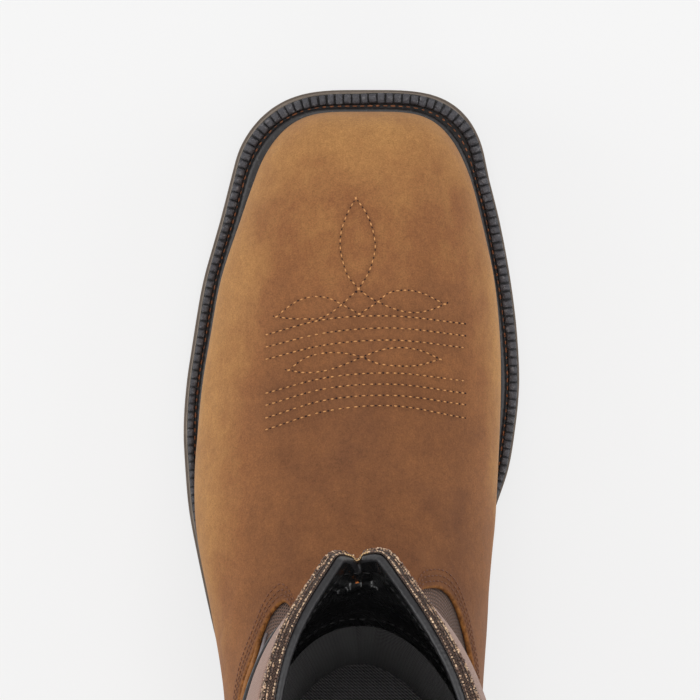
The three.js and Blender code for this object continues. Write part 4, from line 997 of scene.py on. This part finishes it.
trim = {
    "bandHeight": 17.0, "bandOut": 1.5, "braidHeight": 4.2, "braidOut": 1.8, "cap": 1.6, "facing": 34.0,
    "facingThickness": 1.1, "gap": 0.3, "braidTop": 1.9, "crownOuter": 0.5, "crownInner": 1.5,
}


def bandPlaces(turn):
    low, high = trim["braidHeight"] + trim["gap"] + trim["bandHeight"], trim["braidHeight"] + trim["gap"]
    crown = np.where(turn > 0, mix(trim["crownInner"], 0.3, smoothStep(0.6, 1.1, turn)), trim["crownOuter"])
    share = np.linspace(0, 1, 12)
    outer = [(belowRim(turn, mix(low, high, s)), trim["bandOut"] - 0.4 * (s == 0) + crown * np.sin(math.pi * s) ** 0.7)
             for s in share]
    return outer + [(belowRim(turn, high), trim["gap"]), (belowRim(turn, low), trim["gap"])]


dress(rimLoft("collarBand", bandPlaces), bandCloth, "collar_band")


# Across the braid: from its lower edge on the outer side, over the rim's corner, to its top
def braidPlace(turn, share, lift):
    distance = mix(trim["braidHeight"], -trim["braidTop"], share)
    level = belowRim(turn, distance) if distance > 0 else np.full(len(turn), 1 - distance / form["legWidth"])
    out = np.interp(share, (0, 0.25, 0.6, 0.8, 1), (0.6, 1.5, 1.7, 0.8, -1.2))
    return level, out + lift


def braidPlaces(turn):
    return [braidPlace(turn, share, 0.0) for share in np.linspace(0, 1, 9)] + [(belowRim(turn, 2.0), trim["gap"])]


braidObject = rimLoft("collarBraidCore", braidPlaces)
braidBase = clothMaterial("braidBase", srgb(30, 22, 18), srgb(92, 70, 58), 0.9, 0.9, 0.0003)
dress(braidObject, braidBase, "collar_braid")


def bindingPlaces(turn):
    back = -form["wall"] - trim["gap"]
    face = back - trim["facingThickness"]
    outerEdge, innerEdge = -1.0, face
    middle, half = (outerEdge + innerEdge) / 2, (outerEdge - innerEdge) / 2
    round_ = np.linspace(0, math.pi, 12)
    base = 1 + trim["gap"] / form["legWidth"]
    cap = [(base + trim["cap"] * math.sin(a) ** 0.7 / form["legWidth"], middle + half * math.cos(a)) for a in round_]
    depth = np.linspace(0, trim["facing"], 26)[1:]
    down = [(belowRim(turn, d), face + 0.25 * math.exp(-d / 1.5)) for d in depth]
    up = [(belowRim(turn, d), back) for d in depth[::-4]]
    return cap + down + up + [(base, back)]


bindingObject = rimLoft("collarBinding", bindingPlaces)
dress(bindingObject, [rimLeatherAndHighlight, facingLeather], "collar_binding")
columns = 12 + 25 + 7 + 1
column = np.tile(np.arange(columns), 320)
bindingObject.data.polygons.foreach_set("material_index", ((column > 9) * 1).tolist())
print("collar made")

# Welt, rand and sole
welt = {
    "insetOuter": 1.5, "insetInner": 0.9, "insetToe": 0.4, "back": 0.3, "height": 2.3, "ribPitch": 2.85,
    "ribLength": 2.45, "ribWidth": 3.5, "ribHeight": 2.6, "groove": 0.9, "randWidth": 3.0, "randHeight": 4.4,
    "stitch": 2.6,
}
footTurns = np.linspace(0, math.pi, 1500)
footY = ringPoint(footTurns, np.zeros(1500))[0]


def turnAt(y):
    return float(np.interp(-y, -footY, footTurns))


def beside(turn, out, rise):
    base, further = skin(turn, 0.0, 0.0), skin(turn, 0.0, 1.0)
    direction = further - base
    direction[:, 2] = 0
    points = base + unit(direction) * np.asarray(out)[..., None]
    points[:, 2] = feather(points[:, 1]) + rise
    return points


weltEnd = turnAt(yAt(welt["back"]))
randTurns = np.linspace(-weltEnd, weltEnd, 420)
randInner = overlay["out"] + 0.15
swing = np.linspace(0, math.pi / 2, 7)
randRows = [skin(randTurns, 0.06, overlay["out"] + 0.1)]
randRows += [beside(randTurns, randInner + welt["randWidth"] * math.sin(a) ** 0.8,
                    welt["randHeight"] * (0.45 + 0.35 * math.cos(a))) for a in swing]
randRows += [beside(randTurns, randInner + welt["randWidth"], 0.0), beside(randTurns, randInner, 0.0)]
randRows[0][:, 2] = np.minimum(randRows[0][:, 2], feather(randRows[0][:, 1]) + welt["randHeight"])
dress(loftObject("rubberRand", np.stack(randRows, 1), False), randRubber, "rand")


def edgePath(number=2600):
    halves = []
    for side, inset in ((-1, welt["insetOuter"]), (1, welt["insetInner"])):
        toeInset = mix(welt["insetOuter"], inset, 0.5) + welt["insetToe"]
        y = mix(yAt(welt["back"]), halfLength - toeInset - 1e-3, np.sin(np.linspace(0, math.pi / 2, number)))
        here = mix(inset, toeInset, smoothStep(halfLength - 17, halfLength - 4, y))
        part = np.stack([soleEdge(y, side, here), y], 1)
        halves.append(part if side < 0 else part[::-1])
    path = np.concatenate(halves)
    distance = np.concatenate([[0], np.cumsum(np.linalg.norm(np.diff(path, axis=0), axis=1))])
    at = np.linspace(0, distance[-1], int(distance[-1] / 0.7))
    even = np.stack([np.interp(at, distance, path[:, i]) for i in range(2)], 1)
    tangent = unit(np.gradient(np.stack([np.convolve(np.pad(even[:, i], 4, "edge"), np.ones(9) / 9, "valid")
                                         for i in range(2)], 1), axis=0))
    return even, np.stack([tangent[:, 1], -tangent[:, 0]], 1)


weltPath, weltInward = edgePath()
lipPath = beside(np.linspace(-weltEnd - 0.25, weltEnd + 0.25, 700), randInner + welt["randWidth"] + 0.1, 0.0)[:, :2]


def reachTo(points, inward, path):
    edge = np.diff(path, axis=0)
    gap = path[None, :-1] - points[:, None]
    cross2 = lambda a, b: a[..., 0] * b[..., 1] - a[..., 1] * b[..., 0]
    cross = cross2(inward[:, None], edge[None])
    t = cross2(gap, edge[None]) / cross
    s = cross2(gap, inward[:, None]) / cross
    return np.where((t > 0) & (s >= 0) & (s <= 1), t, 99).min(1)


weltReach = np.clip(reachTo(weltPath, weltInward, lipPath), 0.8, 12)


def weltPlace(share, rise):
    plan = weltPath + weltInward * np.asarray(share)[:, None]
    return np.concatenate([plan, (feather(plan[:, 1]) + rise)[:, None]], 1)


ribWidth = np.minimum(welt["ribWidth"], weltReach - 0.25 * np.minimum(weltReach, 3.6))
one = np.ones(len(weltPath))
weltSections = [weltPlace(0 * one, 0.0), weltPlace(0 * one, welt["height"] - 0.5), weltPlace(0.5 * one, welt["height"]),
                weltPlace(ribWidth, welt["height"]), weltPlace(ribWidth + 0.25, welt["height"] - 0.7),
                weltPlace(weltReach, welt["height"] - 0.7), weltPlace(weltReach, 0.0)]
weltObject = loftObject("weltStrip", np.stack(weltSections, 1), False)
sharpenByAngle(weltObject, 50)
dress(weltObject, shadedWeltBase, "welt")
rib = template("ribTemplate", welt["ribLength"], 1.0, welt["ribHeight"], rings=7, around=12, square=4.4)
ribLine = weltPlace(ribWidth / 2 + 0.1, welt["height"] + 0.05)
repeatPiece("weltRibs", [run(ribLine, (0, 0, 1), ribWidth)], rib, welt["ribPitch"], weltRubber, unevenness=0.1, seed=3)
stitchTemplate = template("weltStitchTemplate", 1.5, 0.5, 0.5)
stitchLine = weltPlace(mix(ribWidth, weltReach, 0.55), welt["height"] - 0.6)
roomy = weltReach - ribWidth > 0.6
stitchLine = stitchLine[roomy]
breaks = np.flatnonzero(np.linalg.norm(np.diff(stitchLine, axis=0), axis=1) > 3) + 1
weltRuns = [run(part, (0, 0, 1)) for part in np.split(stitchLine, breaks) if len(part) > 8]
repeatPiece("weltStitches", weltRuns, stitchTemplate, welt["stitch"], weltThread, unevenness=0.35, seed=5)
print("welt made")



# A layer of the sole between two heights, closed and smooth, with its upper and lower corners rounded
def soleLayer(name, lowAt, highAt, inset, corner=0.5, number=420):
    end = halfLength - inset - 0.02
    y = -end * np.cos(np.linspace(0, math.pi, number))
    loop = []
    turns = np.linspace(0, math.pi / 2, 4)
    for side in (-1, 1):
        edge = [(corner * (1 - math.sin(a)), highAt(y) - corner * (1 - math.cos(a))) for a in turns]
        edge += [(corner * (1 - math.cos(a)), lowAt(y) + corner * (1 - math.sin(a))) for a in turns]
        part = [np.stack([soleEdge(y, side, inset + more), y, z], 1) for more, z in edge]
        loop += part if side > 0 else part[::-1]
    obj = loftObject(name, np.stack(loop[8:] + loop[:8], 1), False)
    sharpenByAngle(obj, 50)
    return obj


dress(soleLayer("midsoleLayer", lambda y: outsoleTop(y) + form["gap"], lambda y: feather(y) - form["gap"], 1.0),
      midsoleFoam, "midsole")
tread = softCopy("outsole", "outsoleRubber", 0.4)
sideWall = soleLayer("outsoleSide", lambda y: soleBottom(y) + 4.2, outsoleTop, 0.0)
bpy.ops.object.select_all(action="DESELECT")
for part in (tread, sideWall):
    part.select_set(True)
bpy.context.view_layer.objects.active = tread
bpy.ops.object.join()
dress(tread, soleRubber, "outsole")


# A part of the heel: the sole's own outline, drawn in towards the floor, with rounded corners
heel = {"taper": 3.0, "lift": 7.0, "corner": 0.6, "groove": 0.35, "layers": 3}


def heelPart(name, low, high, grooves):
    start, end = form["gap"] / 2 - halfLength, form["heelLength"] - halfLength
    y = mix(start, end, 1 - np.cos(np.linspace(0, math.pi / 2, 90)))
    heights = [high, high - 0.15, high - heel["corner"]]
    pulls = [heel["corner"], 0.15, 0.0]
    for i in range(grooves):
        middle = mix(high, low, (i + 1) / (grooves + 1))
        heights += [middle + 0.5, middle, middle - 0.5]
        pulls += [0.0, heel["groove"], 0.0]
    heights += [low + heel["corner"], low + 0.15, low]
    pulls += [0.0, 0.15, heel["corner"]]
    loop = []
    for side in (1, -1):
        part = []
        for z, pull in zip(heights, pulls):
            draw = heel["taper"] * (1 - z / form["heelHeight"])
            back = y + (draw + pull) * (1 - (y - start) / (end - start)) - 1.2 * draw * smoothStep(start, end, y)
            edge = soleEdge(y, side)
            part.append(np.stack([edge - side * (draw + pull), back, np.full(len(y), z)], 1))
        loop += part if side > 0 else part[::-1]
    obj = loftObject(name, np.stack(loop, 1), False)
    sharpenByAngle(obj, 45)
    return obj


dress(heelPart("heelStack", heel["lift"] + form["gap"], form["heelHeight"], 3), soleRubber, "heel_base")
dress(heelPart("heelTopLift", 0.0, heel["lift"], 0), liftRubber, "heel_top_lift")
print("sole made")

# Stitches on the vamp lie on its surface, found straight down from the pattern in the plan
vampTree = BVHTree.FromObject(vampObject, bpy.context.evaluated_depsgraph_get())


def onVamp(plan, lift):
    places, facings = [], []
    for x, y in plan:
        hit, normal, _, _ = vampTree.ray_cast(Vector((x / 1000, y / 1000, 0.4)), Vector((0, 0, -1)))
        places.append(np.array(hit) * 1000 + np.array(normal) * lift)
        facings.append(np.array(normal))
    return np.array(places), np.array(facings)


thread = template("threadTemplate", toeStitch["thread"], toeStitch["width"], toeStitch["width"])
hole = template("holeTemplate", toeStitch["hole"], toeStitch["hole"] * 0.8, 0.4, rings=5, around=8,
                shift=toeStitch["pitch"] / 2)
toeRuns = [run(*onVamp(plan, 0.02)) for plan in planRuns]
holeRuns = [run(*onVamp(plan, -0.1)) for plan in planRuns]
repeatPiece("toeStitches", toeRuns, thread, toeStitch["pitch"], goldThread, unevenness=0.08, seed=7)
repeatPiece("toeNeedleHoles", holeRuns, hole, toeStitch["pitch"], needleHoleShade, unevenness=0.1, seed=8)
print("toe stitched")


# Rows that follow an edge of an overlay, set down on its leather
def edgeRow(turns, topAt, offset, leather, lift=0.1):
    top = topAt(turns)
    level = top - offset * levelPerMm(wrapTurn(turns), top)
    places, facings = [], []
    for place in skin(wrapTurn(turns), level, overlay["out"]):
        hit, normal, _, _ = leather.find_nearest(Vector(place / 1000))
        places.append(np.array(hit) * 1000 + np.array(normal) * lift)
        facings.append(np.array(normal))
    return run(np.array(places), np.array(facings))


edgeStitch = {"pitch": 1.9, "rows": (2.3, 4.3, 6.6)}
edgeThread = template("edgeThreadTemplate", 1.35, 0.5, 0.5)
edgeTurns = np.linspace(-highSeam * 0.985, highSeam * 0.985, 900)
counterTree = BVHTree.FromObject(counterObject, bpy.context.evaluated_depsgraph_get())
rows = [edgeRow(edgeTurns, vampEdge, offset, vampTree) for offset in edgeStitch["rows"]]
counterRowTurns = np.linspace(highSeam + 0.05, 2 * math.pi - highSeam - 0.05, 300)
rows += [edgeRow(counterRowTurns, counterTop, offset, counterTree) for offset in edgeStitch["rows"][:2]]
repeatPiece("edgeStitches", rows, edgeThread, edgeStitch["pitch"], brownThread, unevenness=0.08, seed=9)
print("edges stitched")

# On the outer side two strips run along the vamp's edge: a leather strip, and a grey strip that is a painted
# reflection, the bluish sheen of the shaft cloth. A thin black tube under the collar's band is a painted shadow.
sideStrips = {
    "leatherStrip": {"low": -0.4, "high": 2.2, "out": 1.7, "start": 55.0, "finish": vampLeather, "slot": "vamp_leather"},
    "greyTape": {"low": 2.7, "high": 5.6, "out": 1.2, "start": 50.0, "finish": greyTape, "slot": "shaft_mesh"},
}


def sideStrip(name, low, high, out, start, finish, slot):
    turns = -np.radians(np.linspace(start, 112, 140))
    top = vampEdge(turns)
    grow = smoothStep(start, start + 7, -np.degrees(turns)) * 0.85 + 0.15
    across = np.linspace(0, 1, 8)
    path = [(a, out * (0.6 + 0.4 * math.sin(math.pi * a))) for a in across] + [(1.0, 0.15), (0.0, 0.15)]
    sections = [skin(turns, top + mix(low, high, a * grow) * levelPerMm(turns, top), o) for a, o in path]
    obj = loftObject(name, np.stack(sections, 1), False)
    setAttribute(obj, "tan", np.full(len(obj.data.vertices), 0.55))
    setAttribute(obj, "cutEdge", np.tile([0.9, 0.3, 0, 0, 0, 0, 0.3, 0.9, 1, 1], len(turns)))
    dress(obj, finish)


for name, choice in sideStrips.items():
    sideStrip(name, *choice.values())

# A thin black tube just under the band's lower edge on the outer side: painted shadow, the dark gap under the band's
# edge.
shadowCord = {"below": 21.9, "out": 1.9, "radius": 0.75, "from": 24.0, "to": 155.0}
shadowCordTurns = -np.radians(np.linspace(shadowCord["from"], shadowCord["to"], 160))
shadowCordEnds = smoothStep(shadowCord["from"], shadowCord["from"] + 8, -np.degrees(shadowCordTurns)) * 0.9 + 0.1
swing = np.linspace(0, 2 * math.pi, 10, endpoint=False)
shadowCordSections = [skin(shadowCordTurns, belowRim(shadowCordTurns, shadowCord["below"] + shadowCord["radius"] * shadowCordEnds * math.sin(a)),
                     shadowCord["out"] + shadowCord["radius"] * shadowCordEnds * math.cos(a)) for a in swing]
dress(loftObject("bandCord", np.stack(shadowCordSections, 1), False), pipingLeather)
print("side strips made")

# Braid on the collar: lines of little knots that swing to and fro, pale and brown by turns; the pale tones are partly
# painted glints.
braid = {"lines": 7, "swing": 0.5, "step": 0.23, "uneven": 0.35}
chance = np.random.default_rng(21)
knot = template("knotTemplate", 0.9, 0.6, 0.55, rings=3, around=6)
braidThreads = [braidMaterial("paleBraidThread", srgb(112, 84, 70), srgb(236, 204, 168), 0.25),
                braidMaterial("brownBraidThread", srgb(82, 60, 50), srgb(214, 176, 144), 0.4)]
knotRuns = [[], []]
knotTurns = np.linspace(-math.pi, math.pi, 1200)
for i in range(braid["lines"]):
    level, out = braidPlace(knotTurns, mix(0.12, 0.96, i / (braid["lines"] - 1)), 0.3)
    zigzag = braid["swing"] * np.abs((np.arange(len(knotTurns)) * braid["step"] + 0.5 * (i % 2)) % 1 - 0.5)
    zigzag += braid["uneven"] * np.convolve(chance.normal(size=len(knotTurns) + 2), np.ones(3) / 3, "valid")
    points, facing = skin(knotTurns, notched(knotTurns, level + zigzag / form["legWidth"]), out, alsoNormal=True)
    knotRuns[i % 2].append(run(points, facing))
repeatPiece("braidKnotsPale", knotRuns[0], knot, 1.2, braidThreads[0], unevenness=0.55, seed=11)
repeatPiece("braidKnotsBrown", knotRuns[1], knot, 1.05, braidThreads[1], unevenness=0.55, seed=12)
# Pale knots on the braid at the notch: painted glints where the two ends of the trim meet.
notchGlintTurns = np.radians(notch["turn"] + np.linspace(-3.0, 3.5, 60))
notchGlintRuns = []
for share in (0.8, 1.0):
    level, out = braidPlace(notchGlintTurns, share, 0.35)
    notchGlintRuns.append(run(*skin(notchGlintTurns, notched(notchGlintTurns, level), out, alsoNormal=True)))
repeatPiece("braidGoldKnots", notchGlintRuns, knot, 0.9, threadMaterial("notchGlintThread", srgb(236, 196, 140), 0.3),
            unevenness=0.4, seed=14)
faceOut = -form["wall"] - trim["gap"] - trim["facingThickness"]
faceStitch = {"below": (4.5, 29.0), "pitch": 3.2, "thread": 2.2, "width": 0.55, "spotTurn": -1.5, "spotBelow": 9.0}
faceThread = template("faceThreadTemplate", faceStitch["thread"], faceStitch["width"], 0.4)
faceRuns = []
for distance in faceStitch["below"]:
    points, facing = skin(knotTurns, belowRim(knotTurns, distance), faceOut - 0.1, alsoNormal=True)
    faceRuns.append(run(points, -facing))
repeatPiece("facingStitches", faceRuns, faceThread, faceStitch["pitch"], blackThread,
            unevenness=0.1, seed=15)
spotTurns = np.radians(faceStitch["spotTurn"] + np.linspace(-0.1, 0.1, 3))
points, facing = skin(spotTurns, belowRim(spotTurns, faceStitch["spotBelow"]), faceOut - 0.3, alsoNormal=True)
repeatPiece("facingThreadEnd", [run(points, -facing)], knot, 1.2,
            threadMaterial("orangeThread", srgb(214, 122, 60), 0.4), unevenness=0.3, seed=16)

# The facing ends at the front in a small glossy fold
fold = {"below": 11.5, "radius": 1.5, "out": -0.5, "from": -13.0, "to": 9.0, "sag": 1.2}
foldShare = np.linspace(0, 1, 60)
foldTurns = np.radians(mix(fold["from"], fold["to"], foldShare))
foldSize = fold["radius"] * (0.15 + 0.85 * np.sin(math.pi * foldShare) ** 0.5) * (1 + 0.25 * np.sin(foldShare * 19))
foldAt = fold["below"] + fold["sag"] * np.sin(foldShare * 7)
foldSections = [skin(foldTurns, belowRim(foldTurns, foldAt + foldSize * 1.4 * math.sin(a)),
                     faceOut + fold["out"] - foldSize * (math.cos(a) - 0.3)) for a in swing]
dress(loftObject("facingFold", np.stack(foldSections[::-1], 1), False), facingLeather)
print("braid made")


# Pull straps: each follows the shaft up outside, stands over the rim as a loop and goes down inside
strap = {
    "width": 26.0, "thickness": 1.5, "length": 52.0, "loop": 16.0, "ease": 3.0, "turn": 93.0, "outside": 2.4,
    "inside": -5.0,
}


def strapObject(side, name, node):
    turn = side * math.radians(strap["turn"])
    a = skin(np.array([turn + 0.01]), 1.0)[0]
    b = skin(np.array([turn - 0.01]), 1.0)[0]
    perTurn = np.linalg.norm(a - b) / 0.02
    straightUp = unit(skin(turn, 1.0) - skin(turn, 0.99))
    up = unit(mix(straightUp, np.array([0, 0, 1.0]), 0.6))
    sections = []
    for shift in np.linspace(-strap["width"] / 2, strap["width"] / 2, 15):
        at = np.array([turn + shift / perTurn])
        rim = skin(at, 1.0)[0]
        outward = skin(at, 1.0, 1.0)[0] - rim
        down = lambda distance, out: skin(at, belowRim(at, distance), out)[0]
        over = lambda out, rise: rim + outward * out + up * rise
        ease = trim["braidOut"] + strap["ease"]
        top = trim["cap"] + strap["loop"]
        middle, radius = (ease + strap["inside"]) / 2, (ease - strap["inside"]) / 2
        bend = 0.8 * (1 - (2 * shift / strap["width"]) ** 2)

        def line(thick):
            line = [down(strap["length"], strap["outside"] + thick), down(strap["length"] / 2, strap["outside"] + thick),
                    down(trim["braidHeight"] + 4, strap["outside"] + thick),
                    down(trim["braidHeight"] / 2, ease - 0.4 + thick)]
            for angle in np.linspace(0, math.pi, 7):
                line.append(over(middle + (radius + thick) * math.cos(angle),
                                 top - radius + (radius + thick) * math.sin(angle) + bend * 0.2))
            line += [over(strap["inside"] - thick, trim["cap"] + 1), down(6, strap["inside"] - thick),
                     down(strap["length"] / 2, strap["inside"] - thick)]
            return smoothRun(line, 1.2)[:: 1]

        outer, inner = line(strap["thickness"]), line(0.0)
        number = 90
        resample = lambda p: p[np.linspace(0, len(p) - 1, number).round().astype(int)]
        sections.append(np.concatenate([resample(outer), resample(inner)[::-1]]))
    sections = np.stack(sections)
    obj = loftObject(name, sections, False)
    grid = np.repeat(np.arange(sections.shape[0])[:, None], sections.shape[1], 1)
    weaveOf(obj, sections, grid)
    sharpenByAngle(obj, 60)
    return dress(obj, strapCloth, node)


strapObject(-1, "pullStrapOuter", "pull_strap_outer")
strapObject(1, "pullStrapInner", "pull_strap_inner")
print("straps made")

for side in ("outer", "inner"):
    node = "side_piping_" + side
    dress(softCopy(node, "sidePiping" + side.capitalize(), 0.4, 3, 25), pipingLeather, node)

# Footbed: a crowned foam pad under cloth
bed = {"level": 0.02, "out": -3.0, "crown": 1.6, "rows": 120, "columns": 40}
bedTurns = np.linspace(0.02, math.pi - 0.02, bed["rows"])
left = skin(-bedTurns, bed["level"], bed["out"])
right = skin(bedTurns, bed["level"], bed["out"])
across = np.linspace(0, 1, bed["columns"])
top = left[:, None] + (right - left)[:, None] * across[None, :, None]
top[..., 2] += bed["crown"] * (4 * across * (1 - across)) - bed["crown"]
bottom = top[:, ::-1].copy()
bottom[..., 2] = feather(bottom[..., 1]) + 0.3
footbed = loftObject("footbed", np.concatenate([top, bottom], 1), False)
grid = np.repeat(np.arange(bed["rows"])[:, None], 2 * bed["columns"], 1)
weaveOf(footbed, np.concatenate([top, bottom], 1), grid)
dress(footbed, footbedClothPaintedLight, "insole")
print("footbed made")

for old in templates:
    bpy.data.objects.remove(old)
